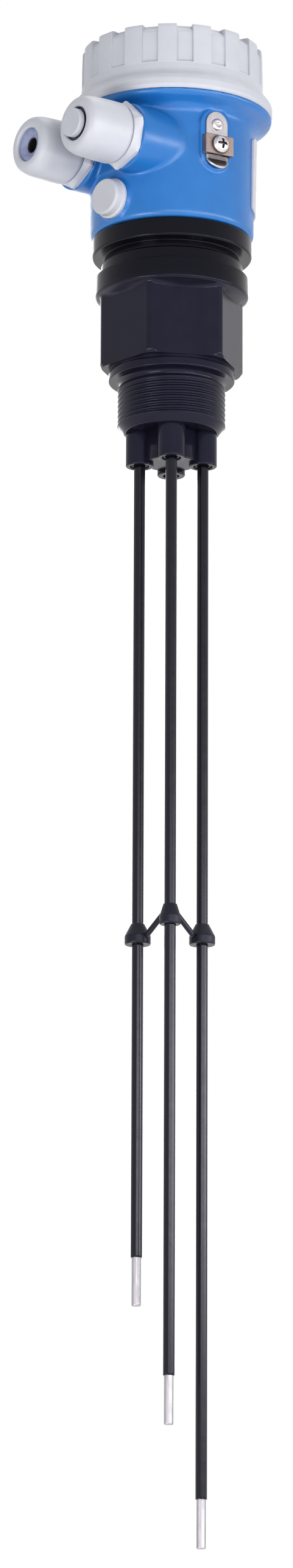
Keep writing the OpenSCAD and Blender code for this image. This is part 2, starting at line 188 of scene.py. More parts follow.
def beside_axis(degrees: float, radius: float = ROD_CIRCLE_R, z: float = 0) -> Placement:
    """A placement that only moves, on a circle round the axis.

    Args:
        degrees: the direction, from +x towards +y.
        radius: the circle's radius in millimetres.
        z: the height in millimetres.

    Returns:
        The placement at (r cos a, r sin a, z).
    """
    a = math.radians(degrees)
    return upright(radius * math.cos(a), radius * math.sin(a), z)


def rounded(
    corners: Sequence[tuple[float, float, float]], closed: bool = False, steps: int = 5
) -> Array:
    """Draws a profile whose corners are rounded.

    Between the two points at the corner's radius from it, the arc is the parabola
    (1 - t)^2 A + 2 t (1 - t) C + t^2 B, which touches both sides. It never takes more than 0.49
    of a side, so that two arcs on one side keep apart.

    Args:
        corners: radius, height and rounding of each corner, in millimetres.
        closed: whether the last corner joins the first.
        steps: stretches in each rounded corner.

    Returns:
        The profile's points, one row each.
    """
    spots = np.array([c[:2] for c in corners], float)
    t = np.linspace(0, 1, steps + 1)[:, None]
    out = []
    for i, (_, _, rounding) in enumerate(corners):
        end = not closed and i in (0, len(corners) - 1)
        if rounding <= 0 or end:
            out.append(spots[i : i + 1])
            continue
        before, here, after = spots[i - 1], spots[i], spots[(i + 1) % len(spots)]
        lengths = [np.linalg.norm(before - here), np.linalg.norm(after - here)]
        reach = min(rounding, 0.49 * lengths[0], 0.49 * lengths[1])
        a = here + (before - here) / lengths[0] * reach
        b = here + (after - here) / lengths[1] * reach
        out.append((1 - t) ** 2 * a + 2 * t * (1 - t) * here + t**2 * b)
    return np.concatenate(out)


def inset(radius: float, spots: Sequence[tuple[float, float]]) -> Array:
    """A profile from spots that are given by how far in from a radius, and how high, they are."""
    return [radius, 0] + np.array(spots) * [-1, 1]


def densified(
    profile: Array, spacing: float, closed: bool = False, like: Array | None = None
) -> Array:
    """Splits each stretch of a profile evenly, so that none is longer than the spacing.

    Args:
        profile: rows of radius and height.
        spacing: the longest stretch that is left, in millimetres.
        closed: whether the last point joins the first.
        like: a partner whose stretches set how many points go in, so that the two keep matching.

    Returns:
        The profile with its new points.
    """
    if closed:
        profile = np.concatenate([profile, profile[:1]])
    like = profile if like is None else like
    out = [profile[:1]]
    for a, b, c, d in zip(profile[:-1], profile[1:], like[:-1], like[1:]):
        n = max(1, math.ceil(float(np.linalg.norm(d - c)) / spacing))
        out.append(a + (b - a) * (np.arange(1, n + 1) / n)[:, None])
    dense = np.concatenate(out)
    return dense[:-1] if closed else dense


def wound(r: Array, z: Array, angles: Array) -> Array:
    """Carries radii and heights round the local z: x = r cos a, y = r sin a, z = z.

    Args:
        r: the radii, one row for each place along the profile, with one column or one for each angle.
        z: the heights, in the same form.
        angles: the angles round the axis, in radians.

    Returns:
        A grid of points, rows along the profile and columns round the axis.
    """
    return np.stack(np.broadcast_arrays(r * np.cos(angles), r * np.sin(angles), z), axis=2)


def turned(profile: Array, angles: Array) -> Array:
    """Turns a profile of radius and height about the local z, into a grid as wound gives it."""
    return wound(profile[:, :1], profile[:, 1:], angles)


def around(count: int) -> Array:
    """Evenly spaced angles round a full turn."""
    return np.arange(count) * TURN / count


def around_packed(count: int, spots: Array, reach: float, extra: int) -> Array:
    """Evenly spaced angles round a full turn, with more of them close to some spots.

    Args:
        count: how many angles are evenly spaced.
        spots: the angles that need more, in radians.
        reach: how far the additional ones go to either side of a spot.
        extra: how many go in at each spot.

    Returns:
        The angles in rising order, to five decimals and without doubles.
    """
    close = spots[:, None] + np.linspace(-reach, reach, extra)
    return np.unique(np.round(np.concatenate([around(count), close.ravel()]) % TURN, 5))


def off_nearest(angles: Array, first: float, count: int) -> Array:
    """Angle from the nearest of some evenly spaced directions: (a - first + s / 2) mod s - s / 2.

    Args:
        angles: the angles, in radians.
        first: one of the directions.
        count: how many directions there are, which are s = turn / count apart.

    Returns:
        The angles from the nearest direction, between -s / 2 and s / 2.
    """
    step = TURN / count
    return (angles - first + step / 2) % step - step / 2


def smoothstep(x: Array, low: float, high: float) -> Array:
    """Rises from 0 at low to 1 at high as 3 t^2 - 2 t^3."""
    t = np.clip((x - low) / (high - low), 0, 1)
    return t * t * (3 - 2 * t)


def soft_max(a: Array, b: Array, k: float) -> Array:
    """The larger of two fields, rounded over k: max(a, b) + max(k - |a - b|, 0)^2 / 4k."""
    return np.maximum(a, b) + np.maximum(k - np.abs(a - b), 0) ** 2 / (4 * k)


def soft_min(a: Array, b: Array, k: float) -> Array:
    """The smaller of two fields, rounded over k, as the negative of soft_max."""
    return -soft_max(-a, -b, k)


def squared(wave: Array, power: float) -> Array:
    """Squares off an ellipse's sine or cosine: sign(v) |v| to a power below 1."""
    return np.sign(wave) * np.abs(wave) ** power


def thread_cut(
    z: Array, angles: Array, pitch: float, depth: Array | float, shift: float = 0
) -> Array:
    """How far a rounded right-hand thread is cut in at each place.

    The turns along the helix are z / pitch - a / turn + shift. Their fraction gives a triangle
    wave, 0 at the root and 1 at the crest, that is eased by smoothstep, and the cut is
    depth (1 - wave).

    Args:
        z: the heights in millimetres.
        angles: the angles round the axis, in radians.
        pitch: the rise of one turn in millimetres.
        depth: the thread's depth in millimetres.
        shift: turns by which the crest is moved.

    Returns:
        The depth of the cut, from 0 at a crest.
    """
    turns = z / pitch - angles / TURN + shift
    wave = smoothstep(1 - 2 * np.abs(turns - np.floor(turns) - 0.5), 0.06, 0.94)
    return depth * (1 - wave)


class Shell:
    """Gathers closed surfaces into one mesh, with faces outwards and smooth normals."""

    def __init__(self, name: str) -> None:
        """Starts an empty piece.

        Args:
            name: the piece's name.
        """
        self.name = name
        self.points: list[Array] = []
        self.faces: list[Array] = []
        self.shades: list[Array] = []
        self.count = 0

    def add_faces(
        self, points: Array, faces: Array, place: Placement, shade: Array | float = 0.0
    ) -> "Shell":
        """Adds one closed surface, turned inside out where its faces look in.

        They look out where the volume p0 . (p1 x p2) / 6, summed over the triangles, is positive.

        Args:
            points: the surface's points in the placement's millimetres.
            faces: four corners a face, with the last two the same on a triangle.
            place: where the surface goes.
            shade: how far each point is darkened, from 0 to 1.

        Returns:
            The shell itself.
        """
        points = place(points)
        p = points[faces]
        volume = np.einsum("ij,ij->", p[:, 0], np.cross(p[:, 1], p[:, 2]))
        volume += np.einsum("ij,ij->", p[:, 0], np.cross(p[:, 2], p[:, 3]))
        self.points.append(points)
        self.faces.append((faces if volume > 0 else faces[:, [1, 0, 3, 2]]) + self.count)
        self.shades.append(np.broadcast_to(shade, len(points)))
        self.count += len(points)
        return self

    def add_ring(self, grid: Array, place: Placement, shade: Array | float = 0.0) -> "Shell":
        """Adds a surface that closes on itself both ways, such as a turned ring.

        Args:
            grid: its points, rows along the profile and columns round the axis.
            place: where it goes.
            shade: how far each point of the grid is darkened, from 0 to 1.

        Returns:
            The shell itself.
        """
        rows, cols = grid.shape[:2]
        index = np.arange(rows * cols).reshape(rows, cols)
        down, right = np.roll(index, -1, 0), np.roll(index, -1, 1)
        both = np.roll(down, -1, 1)
        faces = np.stack([index, right, both, down], 2).reshape(-1, 4)
        tone = np.broadcast_to(shade, (rows, cols)).ravel()
        return self.add_faces(grid.reshape(-1, 3), faces, place, tone)

    def add_solid(self, grid: Array, place: Placement, shade: Array | float = 0.0) -> "Shell":
        """Adds a surface whose first and last rows shrink to a pole each.

        Args:
            grid: its points, rows from pole to pole and columns round the axis.
            place: where it goes.
            shade: how far each point of the grid is darkened, from 0 to 1; the poles are not.

        Returns:
            The shell itself.
        """
        rows, cols = grid.shape[:2]
        inner = grid[1:-1].reshape(-1, 3)
        poles = np.stack([grid[0].mean(0), grid[-1].mean(0)])
        index = np.arange(len(inner)).reshape(rows - 2, cols)
        right = np.roll(index, -1, 1)
        sides = np.stack([index[:-1], right[:-1], right[1:], index[1:]], 2).reshape(-1, 4)
        first, last = np.full(cols, len(inner)), np.full(cols, len(inner) + 1)
        top = np.stack([first, right[0], index[0], index[0]], 1)
        end = np.stack([last, index[-1], right[-1], right[-1]], 1)
        tone = np.append(np.broadcast_to(shade, (rows, cols))[1:-1], [0, 0])
        return self.add_faces(
            np.concatenate([inner, poles]), np.concatenate([sides, top, end]), place, tone
        )

    def build(
        self, finish: "Finish", body: Body, slot: str, replaces: Sequence[str]
    ) -> bpy.types.Object:
        """Makes the mesh object, dresses it and hangs it on its body.

        Each point's normal is the sum of its faces' normals by area, so large flats stay flat.

        Args:
            finish: the finish of the whole piece.
            body: the moving body that it rides on.
            slot: the record's material slot; not used.
            replaces: the nodes of the frame that it stands for.

        Returns:
            The object.
        """
        points, faces = np.concatenate(self.points), np.concatenate(self.faces)
        p = points[faces]
        area = np.repeat(np.cross(p[:, 2] - p[:, 0], p[:, 3] - p[:, 1]), 4, 0)
        owner = faces.ravel()
        normal = np.stack([np.bincount(owner, area[:, i], len(points)) for i in range(3)], 1)
        normal /= np.linalg.norm(normal, axis=1)[:, None] + 1e-30
        three = faces[:, 2] == faces[:, 3]
        sizes = np.where(three, 3, 4)
        keep = np.ones_like(faces, bool)
        keep[three, 3] = False
        mesh = bpy.data.meshes.new(self.name)
        mesh.vertices.add(len(points))
        mesh.vertices.foreach_set("co", points.astype(np.float32).ravel())
        mesh.loops.add(int(sizes.sum()))
        mesh.loops.foreach_set("vertex_index", faces[keep].astype(np.int32))
        mesh.polygons.add(len(faces))
        mesh.polygons.foreach_set("loop_start", (np.cumsum(sizes) - sizes).astype(np.int32))
        mesh.polygons.foreach_set("use_smooth", np.ones(len(faces), bool))
        mesh.update(calc_edges=True)
        mesh.normals_split_custom_set_from_vertices(normal)
        # the shade attribute carries painted shade into the finish
        shade = mesh.attributes.new("shade", "FLOAT", "POINT")
        shade.data.foreach_set("value", np.concatenate(self.shades).astype(np.float32))
        mesh.materials.append(finish.material())
        piece = linked(self.name, mesh)
        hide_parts(*replaces)
        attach(piece, body.value)
        LOG.info("%s: %d faces", self.name, len(faces))
        return piece


def isosurface(
    distance: Callable[[Array], Array], low: Sequence[float], high: Sequence[float], step: float
) -> tuple[Array, Array]:
    """Meshes the surface where a distance field is zero.

    The field is sampled on a grid. Each cell that the surface crosses gets one point, the mean of
    the crossings on its twelve edges, and each grid edge that is crossed gets the face between its
    four cells. The points are then drawn onto the surface along the field's gradient, four times.

    Args:
        distance: gives the signed distance of each point, negative inside, in millimetres.
        low: the grid's lowest corner.
        high: the grid's highest corner.
        step: the size of a cell.

    Returns:
        The points and the four-cornered faces.
    """
    axes = [np.arange(a, b + step, step) for a, b in zip(low, high)]
    counts = [len(a) for a in axes]
    values = np.empty(counts, np.float32)
    plane = np.stack(np.meshgrid(axes[0], axes[1], indexing="ij"), -1).reshape(-1, 2)
    for k, z in enumerate(axes[2]):
        layer = distance(np.column_stack([plane, np.full(len(plane), z)]))
        values[:, :, k] = layer.reshape(counts[:2])
    inside = values < 0
    cells = [n - 1 for n in counts]
    total, hits = np.zeros((*cells, 3), np.float32), np.zeros(cells, np.float32)
    edges = []
    for axis in range(3):
        a, b = [slice(None)] * 3, [slice(None)] * 3
        a[axis], b[axis] = slice(0, -1), slice(1, None)
        first, second = values[tuple(a)], values[tuple(b)]
        crossed = inside[tuple(a)] != inside[tuple(b)]
        share = np.where(crossed, first / np.where(crossed, first - second, 1), 0)
        share = share.astype(np.float32)
        edges.append((crossed, inside[tuple(a)]))
        u, v = [i for i in range(3) if i != axis]
        for du, dv in ((0, 0), (0, 1), (1, 0), (1, 1)):
            cut = [slice(None)] * 3
            cut[u], cut[v] = slice(du, du + cells[u]), slice(dv, dv + cells[v])
            hit, at = crossed[tuple(cut)], share[tuple(cut)]
            hits += hit
            total[..., axis] += at * hit
            total[..., u] += du * hit
            total[..., v] += dv * hit
    active = hits > 0
    index = np.full(cells, -1, np.int64)
    index[active] = np.arange(int(active.sum()))
    corner = np.argwhere(active)
    points = (corner + total[active] / hits[active][:, None]) * step + np.asarray(low)
    faces = []
    for axis, (crossed, first_inside) in enumerate(edges):
        u, v = [(1, 2), (2, 0), (0, 1)][axis]
        at = np.argwhere(crossed)
        room = [(at[:, w] > 0) & (at[:, w] < cells[w]) for w in (u, v)]
        at = at[room[0] & room[1]]
        around_edge = []
        for du, dv in ((-1, -1), (0, -1), (0, 0), (-1, 0)):
            cell = at.copy()
            cell[:, u] += du
            cell[:, v] += dv
            around_edge.append(index[tuple(cell.T)])
        quad = np.stack(around_edge, 1)
        looks_out = first_inside[tuple(at.T)][:, None]
        faces.append(np.where(looks_out, quad, quad[:, ::-1]))
    probe, least_slope = 0.02, 0.2
    for _ in range(4):
        value = distance(points)
        ahead = [distance(points + way * probe) for way in np.eye(3)]
        behind = [distance(points - way * probe) for way in np.eye(3)]
        slope = np.stack([(a - b) / (2 * probe) for a, b in zip(ahead, behind)], 1)
        size = np.maximum((slope**2).sum(1), least_slope)
        points = points - np.clip(value / size, -step, step)[:, None] * slope
    return points, np.concatenate(faces)


@dataclass(frozen=True)
class Pattern:
    """Noise on Object coordinates, with a grain of a real size that may be longer along an axis."""

    size_mm: float
    octaves: float = 2
    stretch: tuple[float, float, float] = (1, 1, 1)

    def drawn(self, tree: bpy.types.NodeTree) -> bpy.types.NodeSocket:
        """Draws the noise at a scale of 1000 / size_mm grains a metre.

        Args:
            tree: the material's node tree.

        Returns:
            The noise, from 0 to 1.
        """
        place = add_node(tree, "TexCoord").outputs["Object"]
        if self.stretch != (1, 1, 1):
            shrink = tuple(1 / s for s in self.stretch)
            place = add_node(tree, "Mapping", Vector=place, Scale=shrink).outputs[0]
        scale = 1 / (self.size_mm * MM)
        noise = add_node(tree, "TexNoise", Vector=place, Scale=scale, Detail=self.octaves)
        return noise.outputs["Fac"]


class Finish:
    """A finish that makes its material once and shares it."""

    _made: dict[str, bpy.types.Material] = {}
    name: str

    def material(self) -> bpy.types.Material:
        """Makes the material at the first call.

        Returns:
            The finish's material.
        """
        if self.name not in Finish._made:
            made = bpy.data.materials.new(self.name)
            tree = emptied(made)
            add_node(tree, "OutputMaterial", Surface=self.shade(tree).outputs[0])
            Finish._made[self.name] = made
        return Finish._made[self.name]

    def shade(self, tree: bpy.types.NodeTree) -> bpy.types.Node:
        """Builds the nodes and returns the shader."""
        raise NotImplementedError

    @staticmethod
    def surface(
        tree: bpy.types.NodeTree,
        tone: tuple[Pattern, Sequence[tuple[float, str]]],
        gloss: tuple[Pattern, float, float],
        relief: tuple[Pattern, float],
        **inputs: object,
    ) -> bpy.types.Node:
        """A surface whose colour, gloss and relief each follow a pattern.

        The colour is then darkened towards a near black by the mesh's own shade, which runs from
        0 to 1 and is painted shade: in bores, recesses and the bent lip, round the screw's head, and
        on the band above the fitting's hexagon.

        Args:
            tree: the material's node tree.
            tone: the colour's pattern, and the places and hex values that it runs between.
            gloss: the roughness's pattern, and its roughness at 0.3 and at 0.7.
            relief: the bump's pattern, and its depth in millimetres.
            inputs: further values of the shader.

        Returns:
            The shader.
        """
        ramp = add_node(tree, "ValToRGB", Fac=tone[0].drawn(tree))
        for element, (at, code) in zip(ramp.color_ramp.elements, tone[1]):
            element.position = at
            element.color = linear(code)
        # painted shade: the mesh's shade attribute darkens the colour towards the near black #050507
        dark = add_node(tree, "Attribute", {"attribute_name": "shade"}).outputs["Fac"]
        rgb = {"data_type": "RGBA"}
        colour = add_node(tree, "Mix", rgb, _0=dark, _6=ramp.outputs["Color"], _7=linear("#050507"))
        band = {"From_Min": 0.3, "From_Max": 0.7, "To_Min": gloss[1], "To_Max": gloss[2]}
        rough = add_node(tree, "MapRange", {"clamp": True}, Value=gloss[0].drawn(tree), **band)
        depth = relief[1] * MM
        bump = add_node(tree, "Bump", Strength=1.0, Distance=depth, Height=relief[0].drawn(tree))
        inputs |= {"Roughness": rough.outputs[0], "Normal": bump.outputs[0]}
        return add_node(tree, "BsdfPrincipled", Base_Color=colour.outputs[2], **inputs)


@dataclass(frozen=True)
class MouldedPlastic(Finish):
    """Injection-moulded thermoplastic: even colour, a fine spark-eroded grain and a soft gloss.

    The real grain is under 0.1 mm, too fine to show, so it is drawn at 0.35 mm.
    """

    name: str
    colour: str
    shade_colour: str
    roughness: float
    ior: float = 1.5
    grain_mm: float = 0.35
    grain_depth_mm: float = 0.012
    coat: float = 0.0
    tint: str = "#ffffff"

    def shade(self, tree: bpy.types.NodeTree) -> bpy.types.Node:
        """Colour drifts between two close tones over 9 mm, gloss over 4 mm, and the grain is bump.

        Args:
            tree: the material's node tree.

        Returns:
            The shader.
        """
        return self.surface(
            tree,
            tone=(Pattern(9, 3), [(0.3, self.shade_colour), (0.7, self.colour)]),
            gloss=(Pattern(4, 4), self.roughness * 0.88, self.roughness * 1.12),
            relief=(Pattern(self.grain_mm), self.grain_depth_mm),
            IOR=self.ior,
            Specular_Tint=linear(self.tint),
            Coat_Weight=self.coat,
            Coat_Roughness=0.12,
        )


@dataclass(frozen=True)
class Elastomer(Finish):
    """Moulded rubber: dull, with a slight bloom that lightens it in patches."""

    name: str
    colour: str
    bloom: str
    roughness: float = 0.62

    def shade(self, tree: bpy.types.NodeTree) -> bpy.types.Node:
        """Bloom in 2.5 mm patches over the base colour, and a fine bump.

        Args:
            tree: the material's node tree.

        Returns:
            The shader.
        """
        patch = Pattern(2.5, 4)
        return self.surface(
            tree,
            tone=(patch, [(0.4, self.colour), (0.75, self.bloom)]),
            gloss=(patch, self.roughness * 0.9, self.roughness * 1.1),
            relief=(Pattern(0.25), 0.01),
            IOR=1.5,
        )


@dataclass(frozen=True)
class DrawnSteel(Finish):
    """Steel with the fine lines of drawing, rolling or brushing along one axis.

    Real lines are near 0.05 mm wide, too fine to show, so they are drawn at 0.25 mm or more.
    """

    name: str
    colour: str
    shade_colour: str
    roughness: float
    line_mm: float
    stretch: tuple[float, float, float]

    def shade(self, tree: bpy.types.NodeTree) -> bpy.types.Node:
        """Noise stretched along the lines sets colour and bump, and 6 mm clouds the gloss.

        Args:
            tree: the material's node tree.

        Returns:
            The shader.
        """
        line = Pattern(self.line_mm, 3, self.stretch)
        return self.surface(
            tree,
            tone=(line, [(0.3, self.shade_colour), (0.65, self.colour)]),
            gloss=(Pattern(6, 3), self.roughness * 0.8, self.roughness * 1.2),
            relief=(line, 0.006),
            Metallic=1.0,
        )


@dataclass(frozen=True)
class Laminate(Finish):
    """Glass-fibre board under solder mask: glossy green with paler tracks below the mask."""

    name: str
    mask: str
    track: str

    def shade(self, tree: bpy.types.NodeTree) -> bpy.types.Node:
        """Tracks are the edges of 3 mm cells, seen through the mask as a lighter green.

        Args:
            tree: the material's node tree.

        Returns:
            The shader.
        """
        place = add_node(tree, "TexCoord").outputs["Object"]
        kind = {"feature": "DISTANCE_TO_EDGE"}
        cell = add_node(tree, "TexVoronoi", kind, Vector=place, Scale=1 / (3 * MM), Randomness=0.35)
        fall = {"From_Min": 0.05, "From_Max": 0.09, "To_Min": 1.0, "To_Max": 0.0}
        edge = add_node(tree, "MapRange", {"clamp": True}, Value=cell.outputs["Distance"], **fall)
        share, tones = edge.outputs[0], {"_6": linear(self.mask), "_7": linear(self.track)}
        colour = add_node(tree, "Mix", {"data_type": "RGBA"}, _0=share, **tones).outputs[2]
        bump = add_node(tree, "Bump", Strength=1.0, Distance=0.03 * MM, Height=share).outputs[0]
        return add_node(tree, "BsdfPrincipled", Base_Color=colour, Normal=bump, Roughness=0.28)


# PBT, moulded light grey: a cool, slightly satin casing plastic with hardly any grain.
GREY_PBT = MouldedPlastic("moulded_light_grey_pbt", "#c6c8d1", "#c1c3cc", 0.44, grain_depth_mm=0.004)
# The same plastic on the vent cap, whose face is a little darker and duller.
VENT_PBT = MouldedPlastic("moulded_grey_pbt_vent", "#c3c4cb", "#bebfc7", 0.5, grain_depth_mm=0.006)
# PBT, moulded signal blue with a smooth satin face that shows broad soft highlights.
BLUE_PBT = MouldedPlastic("moulded_blue_pbt", "#1b6db7", "#1868b1", 0.34, grain_depth_mm=0.003)
# PPS with glass fibre, moulded black: hard and glossy, with a blue-violet cast in its highlights.
BLACK_PPS = MouldedPlastic(
    "moulded_black_pps", "#1b1a28", "#171622", 0.2, ior=1.25, grain_depth_mm=0.003, tint="#e2e0ff"
)
# Polypropylene, extruded black sleeve: glossy, with long soft highlights down the rods.
BLACK_SLEEVE = MouldedPlastic(
    "extruded_black_sleeve", "#0a0b12", "#08090f", 0.2, ior=1.37, grain_mm=0.6, grain_depth_mm=0.001,
    tint="#eeecff",
)
# Polypropylene, moulded black spacer, a little duller than the sleeves it grips.
BLACK_SPACER = MouldedPlastic(
    "moulded_black_spacer", "#14141d", "#111118", 0.36, ior=1.33, tint="#e2e0ff"
)
# Laminated polyester plate without print: flat grey with a slight sheen.
PLATE = MouldedPlastic("bare_grey_plate", "#c9c7d0", "#c2c0ca", 0.4, grain_depth_mm=0.002, coat=0.1)
# Chloroprene, moulded sealing insert: a dull grey-blue rubber.
INSERT_RUBBER = Elastomer("grey_blue_sealing_rubber", "#8088ac", "#959cbc", 0.55)
# Nitrile rubber, moulded rings: near black and dull.
BLACK_RUBBER = Elastomer("black_ring_rubber", "#17171a", "#222226")
# Stainless steel, cold drawn bar: satin, with fine lines along the rod.
ROD_STEEL = DrawnSteel("drawn_stainless_bar", "#aaa6ab", "#979398", 0.46, 0.3, (1, 1, 40))
# Stainless steel strip, stamped and slightly tarnished to a warm tone.
TERMINAL_STEEL = DrawnSteel("stamped_stainless_strip", "#c8c3c6", "#b6b0b3", 0.32, 0.25, (1, 1, 12))
# The saddle clamp's strip: the same steel, darker and browner.
SADDLE_STEEL = DrawnSteel("darker_stainless_strip", "#9c8b87", "#7e6f6b", 0.48, 0.25, (12, 1, 1))
# Zinc-plated steel of small screws, nuts and the ring: bright and cool.
PLATED_STEEL = DrawnSteel("zinc_plated_steel", "#c9cacd", "#a6a8ad", 0.34, 0.3, (1, 1, 4))
# Solder mask over glass-fibre laminate: glossy deep green.
BOARD = Laminate("green_solder_mask", "#12603c", "#2b8a58")
# Polyamide of the inner module, moulded: dull dark grey.
MODULE = MouldedPlastic("moulded_dark_polyamide", "#3b3d43", "#34363c", 0.5)
# Polyamide of the terminal block, moulded: dull green.
BLOCK = MouldedPlastic("moulded_green_polyamide", "#4f8f5e", "#458353", 0.48)
# Polycarbonate of the relay's case, moulded: ivory with a soft gloss.
RELAY = MouldedPlastic("moulded_ivory_case", "#dcd9cf", "#d2cfc4", 0.38)
# Polyester of the range switch, moulded: a red case with a soft gloss.
SWITCH_CASE = MouldedPlastic("moulded_red_case", "#a83030", "#982a2a", 0.4)
# Polyester of the delay trimmer, moulded: a blue case with a soft gloss.
TRIMMER_CASE = MouldedPlastic("moulded_blue_case", "#2c5fae", "#2855a0", 0.4)
# Acetal of the slider and the rotor, moulded: a waxy off-white.
CONTROL = MouldedPlastic("moulded_white_control", "#e4e3de", "#dad9d4", 0.42)
# Epoxy of the indicator lights, cast: smooth, glossy amber.
LENS = MouldedPlastic("amber_lamp_lens", "#e9a63a", "#db962c", 0.18)
# PVC of the inner lead's jacket, extruded: dull mid grey.
CABLE = MouldedPlastic("grey_cable_jacket", "#8d8f94", "#84868b", 0.5)


@dataclass
class ProcessFitting:
    """The black fitting: rod bosses, thread, shoulder, hexagon, collar, seat ring and spigot."""

    bottom: float = -24.0
    thread_r: float = 23.9
    thread_pitch: float = 25.4 / 11
    thread_depth: float = 0.9
    thread_low: float = -20.4
    thread_high: float = -3.4
    relief_r: float = 22.3
    fillet_r: float = 2.3
    shoulder_r: float = 28.0
    flat_distance: float = 28.4
    flat_turn: float = 42.0
    bar_r: float = 32.2
    hex_low: float = 4.9
    hex_high: float = 36.3
    collar_low: float = 38.0
    cone_low: float = 36.1
    cone_slope: float = 2.2
    skin_end: float = 60.0
    seat_r: float = 35.6
    seat_top: float = 66.0
    spigot_r: float = 22.0
    spigot_bore_r: float = 18.0
    boss_r: float = 6.2
    boss_low: float = -39.0
    boss_high: float = -23.0
    # painted shade: the band between band_low and band_high is darkened towards black
    band_low: float = 38.2
    band_high: float = 40.5
    band_shade: float = 0.85

    def angles(self) -> Array:
        """Angles packed closer at the edges of the strips that the hexagon's corners keep of the bar.

        Returns:
            The angles round the axis. A strip's edge is acos(flat distance / bar radius) from the
            middle of a flat.
        """
        half = math.acos(self.flat_distance / self.bar_r)
        middles = np.radians(self.flat_turn) + np.arange(6) * TURN / 6
        return around_packed(240, np.concatenate([middles - half, middles + half]), 0.02, 6)

    def fillet(self) -> list[tuple[float, float, float]]:
        """Draws the quarter arc that leads from the thread's relief to the sealing face.

        Returns:
            Its corners (relief radius + r (1 - cos a), r (sin a - 1)), without rounding.
        """
        r, turn = self.fillet_r, np.linspace(0, TURN / 4, 8)
        return [(self.relief_r + r * (1 - math.cos(a)), r * (math.sin(a) - 1), 0.0) for a in turn]

    def profile(self) -> Array:
        """Draws the section.

        Returns:
            Points from the axis at the bottom, round the outside, and back down the bore.
        """
        crest, low, high, bar = self.thread_r, self.thread_low, self.thread_high, self.bar_r
        seat, top, spigot, bore = self.seat_r, self.seat_top, self.spigot_r, self.spigot_bore_r
        lower = rounded([
            (0, self.bottom, 0), (20.9, self.bottom, 0.6), (23.6, -20.5, 0.5), (crest, low, 0.3),
        ])
        thread = np.array([[crest, low], [crest, high]])
        middle = rounded([
            (crest, high, 0), (22.4, -2.7, 0.2), *self.fillet(), (self.shoulder_r, 0, 0.6),
            (self.shoulder_r, 3.4, 0.3), (27.5, 3.9, 0.2), (27.5, self.hex_low, 0.1),
            (31.2, self.hex_low, 0.3), (bar, 6.3, 0.6), (bar, 35.9, 0), (bar, self.hex_high, 0),
            (bar, 37.2, 0), (bar, self.collar_low, 0),
        ])
        upper = rounded([
            (bar, self.collar_low, 0), (33.5, 38.6, 0.3), (34.1, 39.3, 0.6), (33.9, 48.0, 0.4),
            (31.8, 48.2, 0.4), (31.5, 53.5, 0.4), (30.3, 53.9, 0.3), (30.1, 57.3, 0.4),
            (35.0, 57.4, 0.3), (seat, 58.0, 0.5), (seat, 65.4, 0.6), (35.0, top, 0.3),
            (spigot, top, 0), (spigot, 70.8, 0), (19.6, 70.8, 0), (19.6, 73.4, 0),
            (spigot, 73.4, 0), (spigot, 76.1, 0), (20.6, 76.1, 0), (20.6, 77.7, 0),
            (spigot, 77.7, 0), (spigot, 78.2, 0), (21, 79, 0), (bore, 79, 0.3), (bore, 10, 0),
            (15.5, 10, 0), (15.5, -13, 0), (0, -13, 0),
        ])
        thread = densified(thread, self.thread_pitch / 12)
        middle = densified(middle, 1.2)
        return np.concatenate([lower[:-1], thread[:-1], middle[:-1], densified(upper, 2.0)])

    def body_grid(self) -> tuple[Array, Array]:
        """The turned body with its helical thread and milled hexagon.

        On the thread, the cut is taken off the radius and runs out at both ends. On the hexagon,
        the radius is the smaller of the bar's and flat distance / cos(angle from the flat's
        middle), but never less than the cone that runs from the flats out to the collar.

        Returns:
            The grid, and its shade: painted shade that makes the band above the hexagon a deeper black.
        """
        angles, profile = self.angles(), self.profile()
        r, z = profile[:, :1], profile[:, 1:]
        outside = np.arange(len(z))[:, None] < np.argmax(z > self.skin_end)
        on_thread = outside & (z >= self.thread_low) & (z <= self.thread_high)
        run_out = 1 - 0.7 * smoothstep(z, self.thread_high - 2.5, self.thread_high)
        start = smoothstep(z, self.thread_low, self.thread_low + 1.5)
        cut = thread_cut(z, angles, self.thread_pitch, self.thread_depth * start * run_out)
        r = np.where(on_thread, r - cut, r)
        flat = off_nearest(angles, math.radians(self.flat_turn), 6)
        hexagon = soft_min(r, self.flat_distance / np.cos(flat), 0.25)
        cone = self.shoulder_r + (z - self.cone_low) * self.cone_slope
        on_hexagon = outside & (z > self.hex_low - 0.3) & (z < self.collar_low + 0.05)
        r = np.where(on_hexagon, np.maximum(hexagon, np.minimum(cone, r)), r)
        # painted shade: the band above the hexagon darkened, for the dimmer light on it
        shade = smoothstep(z, self.band_low, self.band_high) * self.band_shade
        return wound(r, z, angles), shade

    def boss(self, bore: Sequence[tuple[float, float, float]]) -> Array:
        """A boss's section: its bore's corners, then the face, the side and the hidden top."""
        r, low, high = self.boss_r, self.boss_low, self.boss_high
        return densified(rounded([*bore, (r, low, 0.7), (r, high, 0), (0, high, 0)]), 3)

    def build(self) -> None:
        """Makes the fitting with its four bosses, of which the rear one is a spare place."""
        grid, shade = self.body_grid()
        shell = Shell("fitting_moulding").add_solid(grid, upright(), shade)
        low, high = self.boss_low, self.boss_high
        used = self.boss([(0, -37, 0), (4.1, -37, 0.2), (4.1, -38.6, 0.3), (4.5, low, 0.3)])
        spare = self.boss([(0, -36.5, 0), (3.4, -36.5, 0.3), (3.6, low, 0.3)])
        for degrees, profile in ((180, used), (270, used), (0, used), (90, spare)):
            shell.add_solid(turned(profile, around(64)), beside_axis(degrees))
        hub = rounded([(0, -37.5, 0), (12, -37.5, 0.6), (12, high, 0), (0, high, 0)])
        shell.add_solid(turned(hub, around(96)), upright())
        shell.build(BLACK_PPS, Body.FITTING, "black_plastic", ["process_fitting"])


